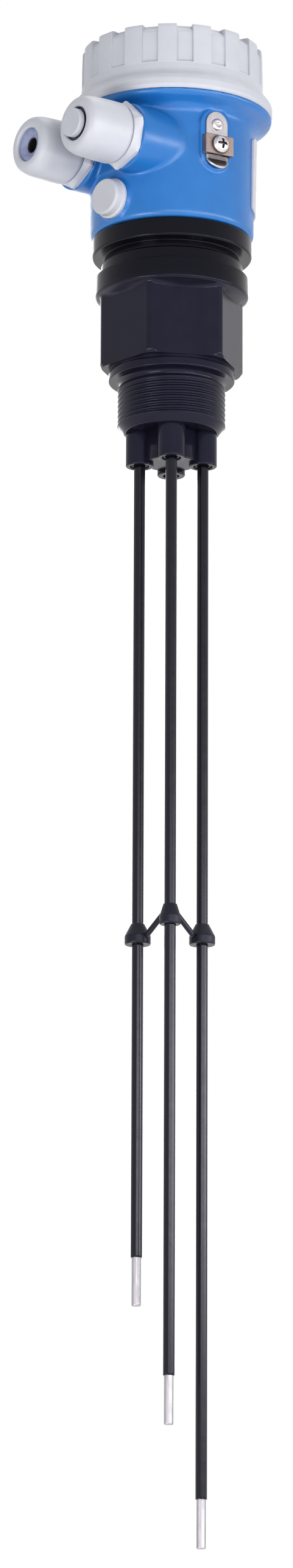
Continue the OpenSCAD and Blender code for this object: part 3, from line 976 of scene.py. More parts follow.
@dataclass(frozen=True)
class Electrode:
    """A steel rod in its sleeve: its name, its direction from +x and the depth of its tip."""

    name: str
    degrees: float
    depth: float
    rod_r: float = 2.0
    rod_top: float = 17.0
    sleeve_r: float = 2.5
    sleeve_top: float = -29.0
    gap: float = 0.03
    bare: float = 21.0

    def build(self) -> None:
        """Makes the rod with a chamfered tip, and the sleeve with a cut, slightly turned-in end."""
        place, angles, spacing = beside_axis(self.degrees), around(40), 12
        tip, top = -self.depth, self.rod_top
        rod = rounded([(0, tip, 0), (self.rod_r, tip, 0.45), (self.rod_r, top, 0.4), (0, top, 0)])
        shell = Shell(f"rod_{self.name}")
        shell.add_solid(turned(densified(rod, spacing), angles), place)
        shell.build(ROD_STEEL, Body.FITTING, "rod_steel", [f"electrode_rod_{self.name}"])
        bore, r, low, top = self.rod_r + self.gap, self.sleeve_r, tip + self.bare, self.sleeve_top
        sleeve = rounded([
            (bore, low, 0.05), (r - 0.05, low, 0.15), (r, low + 0.6, 0.3), (r, top, 0.05),
            (bore, top, 0.05),
        ], closed=True)
        shell = Shell(f"sleeve_{self.name}")
        shell.add_ring(turned(densified(sleeve, spacing, closed=True), angles), place)
        shell.build(BLACK_SLEEVE, Body.FITTING, "sleeve_plastic", [f"rod_sleeve_{self.name}"])


@dataclass
class Spacer:
    """Three hubs with conical tops that slide on the sleeves, joined by two thin arms."""

    depth: float = 255.5
    front_rise: float = 6.0
    bore_r: float = 2.58
    hub_r: float = 5.7
    front_hub_r: float = 4.6
    hub_height: float = 9.1
    cone_low: float = 3.8
    cone_top_r: float = 2.95
    arm_half_width: float = 1.0
    arm_half_height: float = 1.15
    arm_high: float = 5.7
    arm_low: float = 3.0
    arm_start: float = 3.7
    arm_end: float = 4.9
    arm_power: float = 0.6

    def hub(self, r: float) -> Array:
        """A hub's section: a short cylinder under a cone, round its bore."""
        bore, top = self.bore_r, self.hub_height
        return rounded([
            (bore, 0, 0.2), (r - 0.2, 0, 0.4), (r, 0.6, 0.3), (r, self.cone_low, 0.5),
            (self.cone_top_r, top, 0.15), (bore, top, 0.1),
        ], closed=True)

    def arm(self, front: Array, side: Array) -> Array:
        """A squarish oval bar that runs from high on the front hub to low on a side hub.

        Its rings are square to the line between its ends, and shrink to a point at both.

        Args:
            front: the foot of the front hub's axis.
            side: the foot of the side hub's axis.

        Returns:
            The grid of the bar.
        """
        plan = (side - front) * [1, 1, 0]
        plan /= np.linalg.norm(plan)
        start = front + plan * self.arm_start + [0, 0, self.arm_high]
        end = side - plan * self.arm_end + [0, 0, self.arm_low]
        run = (end - start) / np.linalg.norm(end - start)
        level = np.cross(run, [0, 0, 1])
        level /= np.linalg.norm(level)
        up = np.cross(level, run)
        along = np.array([0, 0, 0.1, 0.9, 1, 1])[:, None, None]
        size = np.array([0, 1, 1, 1, 1, 0.0])[:, None, None]
        angles = around(24)[:, None]
        across = squared(np.cos(angles), self.arm_power) * level * self.arm_half_width
        rise = squared(np.sin(angles), self.arm_power) * up * self.arm_half_height
        return start + along * (end - start) + size * (across + rise)

    def build(self) -> None:
        """Makes the hubs and arms as one moulding."""
        left, right = beside_axis(180, z=-self.depth), beside_axis(0, z=-self.depth)
        front = beside_axis(270, z=self.front_rise - self.depth)
        shell = Shell("spacer_moulding")
        for place, r in ((left, self.hub_r), (front, self.front_hub_r), (right, self.hub_r)):
            shell.add_ring(turned(self.hub(r), around(56)), place)
        for side in (left, right):
            shell.add_solid(self.arm(front.origin, side.origin), upright())
        shell.build(BLACK_SPACER, Body.SPACER, "spacer_plastic", ["rod_spacer"])


@dataclass
class Housing:
    """The blue moulding, as a distance field whose parts melt together where the mould is filleted."""

    foot_z: float = 66.0
    foot_r: float = 36.4
    draft: float = 0.4 / 48
    flange_r: float = 44.6
    flange_z: float = 123.0
    slope_r: float = 36.6
    slope_z: float = 117.4
    slope: float = 0.44
    slope_length: float = 1.09
    neck_r: float = 36.5
    neck_top: float = 138.0
    neck_pitch: float = 4.0
    neck_thread: float = 0.9
    neck_scale: float = 0.9
    thread_low: float = 125.0
    thread_high: float = 136.0
    core_r: float = 18.0
    entry_angle: float = 52.0
    entry_side: float = 17.4
    entry_z: float = 101.9
    entry_bore_r: float = 10.03
    entry_bore_start: float = 12.0
    boss_r: float = 15.0
    boss_end: float = 40.8
    web_half: float = 10.0
    web_inset: float = 4.0
    vent_angle: float = 45.2
    vent_z: float = 77.0
    vent_seat: float = 37.1
    vent_seat_r: float = 9.2
    vent_bore_r: float = 4.0
    vent_bore_start: float = 20.0
    pad_angle: float = -31.0
    pad_face: float = 37.6
    pad_top: float = 109.4
    pad_low: float = 96.4
    pad_half: float = 7.9
    cavity_r: float = 30.2
    cavity_low: float = 70.0
    ledge_r: float = 32.8
    ledge_z: float = 88.0
    spigot_bore_r: float = 22.08
    spigot_bore_end: float = 86.0
    hub_middle_r: float = 24.54
    hub_half: float = 2.46
    hub_top: float = 76.1
    post_angles: tuple[float, float] = (38, 218)
    post_circle_r: float = 28.2
    post_middle_r: float = 2.25
    post_half: float = 0.95
    cell: float = 0.72
    grid_low: tuple[float, float, float] = (-54.0, -53.0, 65.0)
    grid_high: tuple[float, float, float] = (46.0, 46.0, 139.0)

    def wall_r(self, z: Array) -> Array:
        """The wall's outer radius, which the mould's draft widens upwards."""
        return self.foot_r + self.draft * (z - self.foot_z)

    def entry_place(self, side: int) -> Placement:
        """A cable entry's frame, whose z runs out along the gland; 0 is midway between the two."""
        return outward(self.entry_angle, side * self.entry_side, self.entry_z)

    def vent_place(self) -> Placement:
        """The vent's frame, whose z runs out through its seat."""
        return outward(self.vent_angle, 0, self.vent_z)

    def stud(
        self,
        p: Array,
        place: Placement,
        radius: float,
        end: float,
        edge: float,
        span: tuple[float, float] = (0.0, 0.0),
    ) -> Array:
        """Distance to a round or long stud that stands out of the housing.

        The field is max(hypot(x, y - y held within the span) - radius, z - end), with its outer
        edge rounded, and it ends inside the wall at the core's radius.

        Args:
            p: the points in millimetres of the row's frame.
            place: the stud's frame.
            radius: its radius or half its width.
            end: how far out its face is.
            edge: the rounding of the edge round its face.
            span: the lowest and highest middle of its round ends.

        Returns:
            The distance of each point.
        """
        q = place.local(p)
        across = np.hypot(q[:, 0], q[:, 1] - np.clip(q[:, 1], *span)) - radius
        return np.maximum(soft_max(across, q[:, 2] - end, edge), self.core_r - q[:, 2])

    def outside(self, p: Array) -> Array:
        """Distance to the outer skin.

        The wall, under its shoulder, is max(r - radius(z), foot - z, z - shoulder). The bosses,
        the web between them, the pad and the vent's seat each join it with a rounded minimum
        whose k is the fillet.

        Args:
            p: the points in millimetres of the row's frame.

        Returns:
            The distance of each point.
        """
        r, z = np.hypot(p[:, 0], p[:, 1]), p[:, 2]
        barrel = soft_max(r - self.wall_r(z), self.foot_z - z, 3.0)
        barrel = soft_max(barrel, z - (self.flange_z - 2), 0.5)
        under = (self.slope_z + self.slope * (r - self.slope_r)) - z
        rim = soft_max(r - self.flange_r, under / self.slope_length, 2.0)
        shape = soft_min(barrel, soft_max(rim, z - self.flange_z, 0.5), 3.2)
        for side in (-1, 1):
            boss = self.stud(p, self.entry_place(side), self.boss_r, self.boss_end, 1.0)
            shape = soft_min(shape, boss, 1.4)
        q = self.entry_place(0).local(p)
        web = np.maximum.reduce([
            np.abs(q[:, 0]) - self.entry_side, np.abs(q[:, 1] + 1) - self.web_half,
            q[:, 2] - (self.boss_end - self.web_inset), self.core_r - q[:, 2],
        ])
        shape = soft_min(shape, web, 1.6)
        pad_place, pad_span = outward(self.pad_angle, 0, 0), (self.pad_low, self.pad_top)
        pad = self.stud(p, pad_place, self.pad_half, self.pad_face, 0.5, pad_span)
        shape = soft_min(shape, pad, 0.7)
        seat = self.stud(p, self.vent_place(), self.vent_seat_r, self.vent_seat, 0.6)
        return soft_min(shape, seat, 1.6)

    @staticmethod
    def bore(p: Array, place: Placement, radius: float, start: float) -> Array:
        """Distance to a bore along a placement's z: max(hypot(x, y) - radius, start - z)."""
        q = place.local(p)
        return np.maximum(np.hypot(q[:, 0], q[:, 1]) - radius, start - q[:, 2])

    def distance(self, p: Array) -> Array:
        """Distance to the whole moulding.

        It is the skin and the neck, whose thread the cover climbs, less the cavity, its ledge and
        the bores, and with the snap hub and two screw posts put back inside as tubes:
        max(|r - middle| - half thickness, z - top, floor - z). The neck's field is scaled down,
        because its thread makes it steeper than a distance.

        Args:
            p: the points in millimetres of the row's frame.

        Returns:
            The distance of each point.
        """
        r, z = np.hypot(p[:, 0], p[:, 1]), p[:, 2]
        low, high, angle = self.thread_low, self.thread_high, np.arctan2(p[:, 1], p[:, 0])
        groove = thread_cut(z, angle, self.neck_pitch, self.neck_thread)
        groove = groove * smoothstep(z, low, low + 1.5) * (1 - smoothstep(z, high - 1.5, high))
        wall = (r - self.neck_r + groove) * self.neck_scale
        neck = np.maximum.reduce([wall, z - self.neck_top, self.flange_z - 2 - z])
        left, right = (
            self.bore(p, self.entry_place(side), self.entry_bore_r, self.entry_bore_start)
            for side in (-1, 1)
        )
        cuts = [
            self.bore(p, upright(), self.cavity_r, self.cavity_low),
            self.bore(p, upright(), self.ledge_r, self.ledge_z),
            np.maximum(r - self.spigot_bore_r, z - self.spigot_bore_end),
            left,
            right,
            self.bore(p, self.vent_place(), self.vent_bore_r, self.vent_bore_start),
        ]
        shape = np.maximum(np.minimum(self.outside(p), neck), -np.minimum.reduce(cuts))
        rise = self.cavity_low - 0.5 - z
        hub = np.maximum.reduce([
            np.abs(r - self.hub_middle_r) - self.hub_half, z - self.hub_top, rise
        ])
        shape = np.minimum(shape, hub)
        for degrees in self.post_angles:
            q = beside_axis(degrees, self.post_circle_r).local(p)
            across = np.abs(np.hypot(q[:, 0], q[:, 1]) - self.post_middle_r) - self.post_half
            shape = np.minimum(shape, np.maximum.reduce([across, z - self.ledge_z, rise]))
        return shape

    def build(self) -> None:
        """Meshes the field cell by cell."""
        points, faces = isosurface(self.distance, self.grid_low, self.grid_high, self.cell)
        shell = Shell("housing_moulding").add_faces(points, faces, upright())
        shell.build(BLUE_PBT, Body.HOUSING, "blue_plastic", ["housing_body"])


@dataclass
class Nameplate:
    """The blank plate bent round the housing, with rounded corners and edges."""

    housing: Housing
    middle_angle: float = 38.0
    middle_z: float = 95.0
    half_angle: float = 53.5
    half_height: float = 17.0
    corner: float = 2.0
    bend_r: float = 36.9
    gap: float = 0.02
    thickness: float = 1.05
    thickening: float = 0.2

    def outline(self) -> Array:
        """Draws the flat plate's outline.

        The rays of a circle are stretched to the rectangle. Within the corner's square, what
        passes the corner's centre is cut to the corner's radius.

        Returns:
            Rows of arc length and height from the plate's middle.
        """
        half = np.array([self.bend_r * math.radians(self.half_angle), self.half_height])
        angles = around(160)
        rays = np.stack([np.cos(angles), np.sin(angles)], 1)
        spots = np.clip(rays * (1 / np.abs(rays).max(1, keepdims=True)), -1, 1) * half
        over = np.maximum(np.abs(spots) - (half - self.corner), 0)
        far = np.maximum(np.hypot(over[:, 0], over[:, 1]), 1e-9)
        trim = np.where((over > 0).all(1), np.minimum(self.corner / far, 1), 1)
        return np.sign(spots) * (np.minimum(np.abs(spots), half - self.corner) + over * trim[:, None])

    def build(self) -> None:
        """Bends the plate round the housing.

        Rings grow from its middle to the outline on the front, run over the edge and shrink again
        on the back. Arc length l and height h go to the angle l / bend radius.
        """
        grow = np.linspace(0, 1, 40)
        inset = np.concatenate([grow * 0.994, [0.9975, 1.0, 1.0], grow[::-1]])
        lift = np.concatenate([np.ones(40), [0.95, 0.7, 0.1], np.zeros(40)])
        rings = inset[:, None, None] * self.outline()
        along, rise = rings[..., 0], rings[..., 1]
        z = self.middle_z + rise
        thickness = self.thickness + self.thickening * rise / self.half_height
        r = self.housing.wall_r(z) + self.gap + lift[:, None] * thickness
        turn = np.radians(self.middle_angle) + along / self.bend_r
        shell = Shell("plate_blank").add_solid(wound(r, z, turn), upright())
        shell.build(PLATE, Body.HOUSING, "plate_grey", ["nameplate"])


@dataclass
class Cover:
    """The screw cover with its wide skirt and a ring of grip ribs."""

    top: float = 155.0
    grip_r: float = 40.6
    skirt_r: float = 44.8
    neck_r: float = 36.68
    bore_r: float = 35.6
    low: float = 123.12
    thread_low: float = 127.0
    thread_high: float = 137.0
    thread_depth: float = 0.8
    pitch: float = 4.0
    ribs: int = 16
    recess_share: float = 0.46
    recess_depth: float = 0.95
    recess_low: float = 136.8
    first_recess: float = -82.2
    wall_half: float = 0.0031
    # painted shade along the recess walls: its strength, and its line's offset and width
    wall_shade: float = 0.12
    line_inset: float = 0.0006
    line_width: float = 0.0026

    @property
    def half(self) -> float:
        """Half the angle of a recess."""
        return TURN / self.ribs * self.recess_share / 2

    def angles(self) -> Array:
        """Angles packed closer at both walls of each recess.

        Returns:
            The angles round the axis, from the middle of the first recess.
        """
        step, half, close, clear = TURN / self.ribs, self.half, 0.006, 0.03
        base = np.concatenate([
            np.linspace(-half - close, -half + close, 9), np.linspace(clear - half, half - clear, 6),
            np.linspace(half - close, half + close, 9), np.linspace(half + clear, step - half - clear, 7),
        ])
        return (math.radians(self.first_recess) + np.arange(self.ribs)[:, None] * step + base).ravel()

    def sections(self) -> tuple[Array, Array]:
        """Draws two sections with matching points, from the inner face to the top's middle.

        Returns:
            The section through a rib, and the one through a recess.
        """
        r, top, low, neck, bore = self.grip_r, self.top, self.low, self.neck_r, self.bore_r
        skirt, start, end = self.skirt_r, self.thread_low, self.thread_high
        inner = densified(rounded([
            (0, top - 3.4, 0), (bore - 2, top - 3.4, 0.8), (bore, top - 5.6, 0.5), (bore, 138.7, 0.2),
            (neck + 0.7, 138.6, 0.2), (neck + 0.7, end, 0),
        ]), 2.5)
        wall = densified(np.array([[neck, end], [neck, start]]), 0.4)
        foot = rounded([
            (neck, start, 0), (37.6, 126.3, 0.2), (40.5, 126.3, 0.2), (40.5, low, 0.15),
            (43.9, low, 0.2), (skirt, 124.7, 0.3), (skirt, 127.9, 0.7), (43.8, 129.6, 0.5),
            (41.2, 132.5, 1.5), (r, 136.2, 1.0), (r, 136.6, 0),
        ], steps=7)
        cap = np.array([[r - 6, top], [30, top], [20, top], [10, top], [0, top]])
        d, foot_z = self.recess_depth, self.recess_low
        rib = inset(r, [
            (0, foot_z - 0.04), (0, foot_z), (0, foot_z + 0.4), (0.05, 145), (0.2, 151),
            (0.3, top - 1.5), (0.5, top - 0.8), (1.0, top - 0.25), (1.8, top), (4.6, top), (5.0, top),
        ])
        recess = inset(r, [
            (0, foot_z - 0.04), (0, foot_z), (d, foot_z + 0.4), (d + 0.05, 145), (d + 0.2, 150),
            (d + 0.3, top - 3.6), (d + 0.9, top - 2.8), (2.6, top - 2.1), (3.6, top - 1.6),
            (4.6, top - 1.3), (5.0, top),
        ])
        whole = [
            np.concatenate([inner, wall, foot[1:], densified(band, 1.5, like=rib), cap])
            for band in (rib, recess)
        ]
        return whole[0], whole[1]

    def build(self) -> None:
        """Blends the two sections round the cover and cuts the inner thread into its wall.

        A fine line of painted shade follows each wall of a recess: exp(-(distance / width)^2).
        """
        angles = self.angles()
        rib, recess = self.sections()
        away = np.abs(off_nearest(angles, math.radians(self.first_recess), self.ribs))
        half = self.half
        share = 1 - smoothstep(away, half - self.wall_half, half + self.wall_half)
        grid = rib[:, None, :] * (1 - share)[None, :, None] + recess[:, None, :] * share[None, :, None]
        r, z = grid[..., 0], grid[..., 1]
        low, high = self.thread_low + 0.1, self.thread_high - 0.1
        on_thread = (np.abs(r - self.neck_r) < 0.01) & (z < high) & (z > low)
        cut = thread_cut(z, angles, self.pitch, self.thread_depth, 0.5)
        cut = cut * smoothstep(z, low, low + 1.5) * (1 - smoothstep(z, high - 1.4, high))
        on_wall = (z > self.recess_low + 0.1) & (z < self.top - 0.6) & (r > self.grip_r - 3.0)
        # painted shade: a dark line at each recess wall
        line = np.exp(-(((away - half + self.line_inset) / self.line_width) ** 2))
        shade = np.where(on_wall, self.wall_shade * line, 0)
        grid = wound(np.where(on_thread, r + cut, r), z, angles)
        shell = Shell("cover_moulding").add_solid(grid, upright(), shade)
        shell.build(GREY_PBT, Body.COVER, "grey_plastic", ["cover"])


@dataclass
class CableGland:
    """One cable gland: hexagon body with a threaded barrel, sealing insert and domed nut."""

    housing: Housing
    entry: Entry
    turn: float
    flat_distance: float = 13.4
    hex_end: float = 45.2
    hex_r: float = 16.2
    stem_r: float = 10.0
    stem_start: float = 31.0
    bore_r: float = 6.5
    barrel_r: float = 11.0
    barrel_bore_r: float = 8.4
    barrel_end: float = 58.7
    barrel_thread: float = 0.7
    pitch: float = 1.5
    insert_seat: float = 51.4
    insert_r: float = 8.1
    insert_mouth_r: float = 7.54
    hole_r: float = 3.2
    nut_r: float = 13.8
    nut_bore_r: float = 11.08
    nut_mouth_r: float = 7.6
    nut_start: float = 45.32
    nut_end: float = 68.2
    nut_thread: float = 0.65
    plug_r: float = 6.4
    plug_rise: float = 2.2

    @property
    def place(self) -> Placement:
        """The entry's own frame, whose z runs out along the gland."""
        return self.housing.entry_place(self.entry.side)

    def body(self) -> None:
        """The hexagon with chamfered corners, and the barrel with its helical thread."""
        seat, end, barrel_r, stem = self.housing.boss_end, self.hex_end, self.barrel_r, self.stem_r
        corners = math.radians(self.turn) + np.arange(6) * TURN / 6
        angles = around_packed(144, corners, 0.06, 9)
        front = rounded([
            (self.bore_r, self.stem_start, 0), (stem, self.stem_start, 0.3), (stem, seat, 0),
            (14.4, seat, 0.2), (self.hex_r, seat + 0.9, 0.4), (self.hex_r, end - 2.6, 0.4),
            (13.2, end, 0.2), (barrel_r, end, 0),
        ])
        straight = np.array([[barrel_r, end], [barrel_r, self.barrel_end - 0.6]])
        barrel = densified(straight, self.pitch / 8)
        inner, low = self.barrel_bore_r, self.insert_seat
        back = rounded([
            (barrel_r, self.barrel_end - 0.6, 0), (10.4, self.barrel_end, 0.2),
            (inner, self.barrel_end, 0.2), (inner, low - 0.2, 0.1), (self.bore_r, low - 0.4, 0.1),
            (self.bore_r, self.stem_start, 0),
        ])
        profile = np.concatenate([front[:-1], barrel, back[1:-1]])
        r, z = profile[:, :1], profile[:, 1:]
        on_thread = (np.abs(r - barrel_r) < 0.01) & (z > end + 0.4)
        away = off_nearest(angles, math.radians(self.turn) + TURN / 12, 6)
        on_hexagon = (r > barrel_r + 0.5) & (z > seat - 0.1) & (z < end + 0.1)
        r = np.where(on_hexagon, soft_min(r, self.flat_distance / np.cos(away), 0.3), r)
        r = np.where(on_thread, r - thread_cut(z, angles, self.pitch, self.barrel_thread), r)
        name = self.entry.label
        shell = Shell(f"gland_{name}_body").add_ring(wound(r, z, angles), self.place)
        shell.build(GREY_PBT, Body.HOUSING, "grey_plastic", [f"gland_body_{name}"])

    def insert(self) -> None:
        """The sealing insert with a dished mouth, with painted shade in its hole and, when plugged, at
        its mouth.
        """
        low, hole, r, mouth = self.insert_seat, self.hole_r, self.insert_r, self.insert_mouth_r
        profile = rounded([
            (hole, low, 0.3), (r, low, 0.4), (r, low + 9.8, 0.6), (mouth, low + 14, 0.6),
            (mouth, low + 15.2, 0.3), (6.2, low + 15.6, 0.6), (4.9, low + 14.9, 0.8),
            (hole + 0.5, low + 14.2, 0.5), (hole, low + 13.2, 0.5), (hole, low + 12.0, 0),
        ], closed=True)
        # painted shade: the hole's wall darkened to near black, and when plugged the mouth round the
        # plug's head
        shade = 1 - smoothstep(profile[:, :1], hole + 0.1, hole + 0.5)
        if self.entry is Entry.PLUGGED:
            shade = np.maximum(shade, 0.9 * smoothstep(profile[:, 1:], low + 12, low + 14))
        name = self.entry.label
        shell = Shell(f"gland_{name}_insert").add_ring(turned(profile, around(72)), self.place, shade)
        shell.build(INSERT_RUBBER, self.entry.insert, "insert_rubber", [f"gland_insert_{name}"])

    def nut(self) -> None:
        """The domed nut: a straight skirt, a round shoulder and a chamfered mouth, threaded inside."""
        r, bore, mouth = self.nut_r, self.nut_bore_r, self.nut_mouth_r
        start, end = self.nut_start, self.nut_end
        outer = rounded([
            (bore, start, 0.2), (r - 1.1, start, 0.3), (r, start + 1.6, 0.8), (r, start + 9, 2),
            (r - 0.35, end - 5, 3), (r - 1.3, end - 1.6, 1.8), (r - 3.6, end, 1.6), (8.2, end, 0.35),
            (mouth, end - 0.7, 0.3), (mouth, end - 1.7, 0.2), (8.6, end - 6.4, 0.2),
            (bore, end - 8.4, 0.1),
        ], steps=8)
        inner = densified(np.array([[bore, end - 8.5], [bore, start + 0.3]]), self.pitch / 8)
        profile = np.concatenate([densified(outer, 2.5), inner])
        r, z, angles = profile[:, :1], profile[:, 1:], around(128)
        on_thread = np.arange(len(profile))[:, None] >= len(profile) - len(inner)
        cut = thread_cut(z, angles, self.pitch, self.nut_thread, 0.5)
        r = np.where(on_thread, r + cut * smoothstep(z, start + 0.4, start + 1.6), r)
        name = self.entry.label
        shell = Shell(f"gland_{name}_nut").add_ring(wound(r, z, angles), self.place)
        shell.build(GREY_PBT, self.entry.nut, "grey_plastic", [f"gland_nut_{name}"])

    def plug(self) -> None:
        """The dust plug: a stem in the insert's hole and a flat round head."""
        low, stem, end = self.insert_seat + 3.8, self.hole_r - 0.08, self.nut_end - 0.6
        r, face = self.plug_r, self.nut_end + self.plug_rise
        profile = rounded([
            (0, low, 0), (self.hole_r - 0.5, low, 0.2), (stem, low + 1, 0.3), (stem, end, 0),
            (r, end, 0.2), (r, face, 0.35), (0, face, 0),
        ])
        shell = Shell("dust_plug_moulding")
        shell.add_solid(turned(densified(profile, 2), around(72)), self.place)
        shell.build(GREY_PBT, Body.PLUG, "grey_plastic", ["dust_plug"])

    def build(self) -> None:
        """Makes the gland's pieces, with the plug where its entry has one."""
        self.body()
        self.insert()
        self.nut()
        if self.entry is Entry.PLUGGED:
            self.plug()


@dataclass
class VentCap:
    """The pressure vent's cap, pressed into its seat below the glands."""

    housing: Housing
    stem_r: float = 3.97
    stem_depth: float = 3.4
    rim_r: float = 9.1
    face_r: float = 8.2
    face_rise: float = 5.9

    def build(self) -> None:
        """A disc with a round rim and a barely crowned face."""
        seat, stem = self.housing.vent_seat, self.stem_r
        low, face = seat - self.stem_depth, seat + self.face_rise
        profile = rounded([
            (0, low, 0), (stem, low, 0.3), (stem, seat, 0), (self.rim_r - 0.2, seat, 0.2),
            (self.rim_r, seat + 1.5, 0.4), (self.face_r + 0.1, seat + 1.9, 0.2),
            (self.face_r, face - 0.8, 0.6), (self.face_r - 0.7, face - 0.05, 0.5), (0, face, 0),
        ])
        shell = Shell("vent_cap_moulding")
        shell.add_solid(turned(densified(profile, 2), around(96)), self.housing.vent_place())
        shell.build(VENT_PBT, Body.HOUSING, "vent_grey", ["vent_cap"])


@dataclass
class GroundTerminal:
    """The ground terminal on its pad: bent bracket, rivet, saddle clamp and screw."""

    housing: Housing
    top_z: float = 110.0
    screw_z: float = 99.5
    bend_z: float = 93.4
    half_width: float = 5.5
    half_thickness: float = 0.5
    bend: float = 38.0
    bend_r: float = 1.6
    bend_start: float = 0.2
    strip_power: float = 0.35
    lip_shade: float = 0.62
    rivet_r: float = 2.8
    saddle_half: float = 7.2
    saddle_low: float = 0.3
    saddle_top: float = 3.4
    channel_half: float = 5.85
    channel_top: float = 2.2
    saddle_length: float = 8.8
    # painted shadow round the screw's head: its strength and width
    grime_shade: float = 0.75
    grime_width: float = 0.7
    head_r: float = 3.9
    head_top: float = 6.4
    stem_r: float = 1.5
    recess_depth: float = 1.4
    # painted shade in the cross recess
    recess_shade: float = 0.85

    def at(self, height: float) -> Placement:
        """The pad's own frame, whose z starts on the pad's face.

        Args:
            height: millimetres above the sealing plane.

        Returns:
            The placement.
        """
        base = outward(self.housing.pad_angle, 0, height)
        out = np.array([0, 0, self.housing.pad_face])
        return Placement(base.matrix, base.origin + base.matrix @ out)

    def bracket(self) -> None:
        """A strip with round ends whose lower end is bent away from the pad.

        Rings of a flat oval follow the strip's middle line. Towards each end the half width is
        sqrt(w^2 - d^2), where d is how far a ring lies past the centre of the round end. At the
        bend the line turns by the bend's angle over an arc of the bend's radius. The lip's inner
        part is darkened: painted shade in the hollow of the bent lip.
        """
        top, low = self.top_z + self.half_width, self.bend_z - self.half_width
        length, straight = top - low, top - self.bend_z
        ends = np.array([0, 0.02, 0.08, 0.25, 0.6, 1.2, 2.2, 3.6])
        s = np.concatenate([ends, np.linspace(5, length - 5, 40), length - ends[::-1]])
        near = np.maximum(self.half_width - np.minimum(s, s[-1] - s), 0)
        half = np.sqrt(np.maximum(self.half_width**2 - near**2, 0))[:, None]
        arc, radius = math.radians(self.bend), self.bend_r
        past = np.clip(s - straight - self.bend_start, 0, None)
        a = np.minimum(past / radius, arc)
        beyond = np.maximum(past - radius * arc, 0)
        y = top - np.minimum(s, straight + self.bend_start) - radius * np.sin(a) - beyond * math.cos(arc)
        z = radius * (1 - np.cos(a)) + beyond * math.sin(arc) + self.half_thickness
        ring = around(28)
        across = half * squared(np.cos(ring), self.strip_power)
        thick = self.half_thickness * squared(np.sin(ring), self.strip_power)
        thick = thick * np.minimum(1, half / 0.6)
        normal_y, normal_z = np.sin(a)[:, None], np.cos(a)[:, None]
        grid = [across, y[:, None] + normal_y * thick, z[:, None] + normal_z * thick]
        # painted shade: the lip's inside darkened, its rim left light
        inside = smoothstep(half - np.abs(across), 0.15, 1.2)
        lip = smoothstep(s, straight - 2.2, straight - 0.4)[:, None]
        shade = self.lip_shade * lip * (0.3 + 0.7 * inside)
        shell = Shell("terminal_bracket").add_solid(np.stack(grid, 2), self.at(0), shade)
        shell.build(TERMINAL_STEEL, Body.HOUSING, "terminal_steel", ["ground_bracket"])

    def rivet(self) -> None:
        """The hollow rivet: a rolled rim round a shallow dimple."""
        r, stem, strip = self.rivet_r, self.stem_r, 2 * self.half_thickness
        profile = rounded([
            (0, -3.4, 0), (stem, -3.4, 0.2), (stem, strip, 0), (r, strip, 0.1), (r, 1.5, 0.4),
            (2.1, 2.1, 0.4), (1.2, 2.1, 0.3), (0.8, 1.4, 0.2), (0, 1.4, 0),
        ])
        shell = Shell("terminal_rivet").add_solid(turned(profile, around(48)), self.at(self.top_z - 0.6))
        shell.build(TERMINAL_STEEL, Body.HOUSING, "terminal_steel", ["ground_rivet"])

    def clamp(self) -> None:
        """The saddle: a strip with both long sides turned down, with a painted shadow round the screw's
        head.

        The section is carried along the strip and shrinks to a point at both ends, over three
        rings that round the edge. The painted shadow is
        exp(-((distance from the head's rim) / width)^2).
        """
        w, low, top = self.saddle_half, self.saddle_low, self.saddle_top
        inner_w, roof = self.channel_half, self.channel_top
        outline = densified(rounded([
            (-w, low, 0.1), (-inner_w, low, 0.1), (-inner_w, roof, 0.25), (inner_w, roof, 0.25),
            (inner_w, low, 0.1), (w, low, 0.1), (w, top, 0.6), (-w, top, 0.6),
        ], closed=True), 0.4, closed=True)
        middle = np.array([0.0, 2.6])
        end, inner = self.saddle_length / 2, np.linspace(-4.1, 4.1, 22)
        along = np.concatenate([[-end, -end, 0.1 - end], inner, [end - 0.1, end, end]])
        size = np.concatenate([[0, 0.96, 0.985], np.ones(len(inner)), [0.985, 0.96, 0]])
        ring = middle + size[:, None, None] * (outline - middle)
        x, y, z = np.broadcast_arrays(ring[..., 0], along[:, None], ring[..., 1])
        # painted shadow: a dark ring on the saddle's top round the screw's head
        rim = np.hypot(x, y) - self.head_r
        grime = self.grime_shade * np.exp(-((rim / self.grime_width) ** 2))
        shade = np.where(z > top - 0.2, grime, 0)
        shell = Shell("terminal_saddle").add_solid(np.stack([x, y, z], 2), self.at(self.screw_z), shade)
        shell.build(SADDLE_STEEL, Body.CLAMP, "terminal_steel", ["ground_clamp"])

    def screw(self) -> None:
        """The clamp screw: a pan head whose cross recess is cut by a height field.

        The head's height is top - 0.085 r^2, eased down at the rim. The recess takes its depth off
        that where the nearer of the two middle lines is closer than half an arm's width.
        """
        r, stem, angles = self.head_r, self.stem_r, around(96)
        radii = np.concatenate([[0], np.linspace(0.1, 2.6, 26), np.linspace(2.7, r, 9)])[:, None]
        x, y = radii * np.cos(angles), radii * np.sin(angles)
        dome = self.head_top - 0.085 * radii**2 - 0.5 * smoothstep(radii, 3.1, r)
        arm = np.minimum(np.abs(x), np.abs(y))
        cut = (1 - smoothstep(arm, 0.38, 0.62)) * (1 - smoothstep(radii, 1.9, 2.5))
        head = np.stack([x, y, dome - self.recess_depth * cut], 2)
        below = turned(rounded([
            (r, 4.4, 0), (r, 3.45, 0.15), (stem, 3.45, 0.1), (stem, -3.2, 0.3), (0, -3.2, 0),
        ]), angles)
        # painted shade: the cross recess darkened towards black
        shade = np.concatenate([self.recess_shade * cut, np.zeros(below.shape[:2])])
        shell = Shell("terminal_screw")
        shell.add_solid(np.concatenate([head, below]), self.at(self.screw_z), shade)
        shell.build(TERMINAL_STEEL, Body.CLAMP_SCREW, "terminal_steel", ["ground_screw"])

    def build(self) -> None:
        """Makes the terminal's four pieces."""
        self.bracket()
        self.rivet()
        self.clamp()
        self.screw()


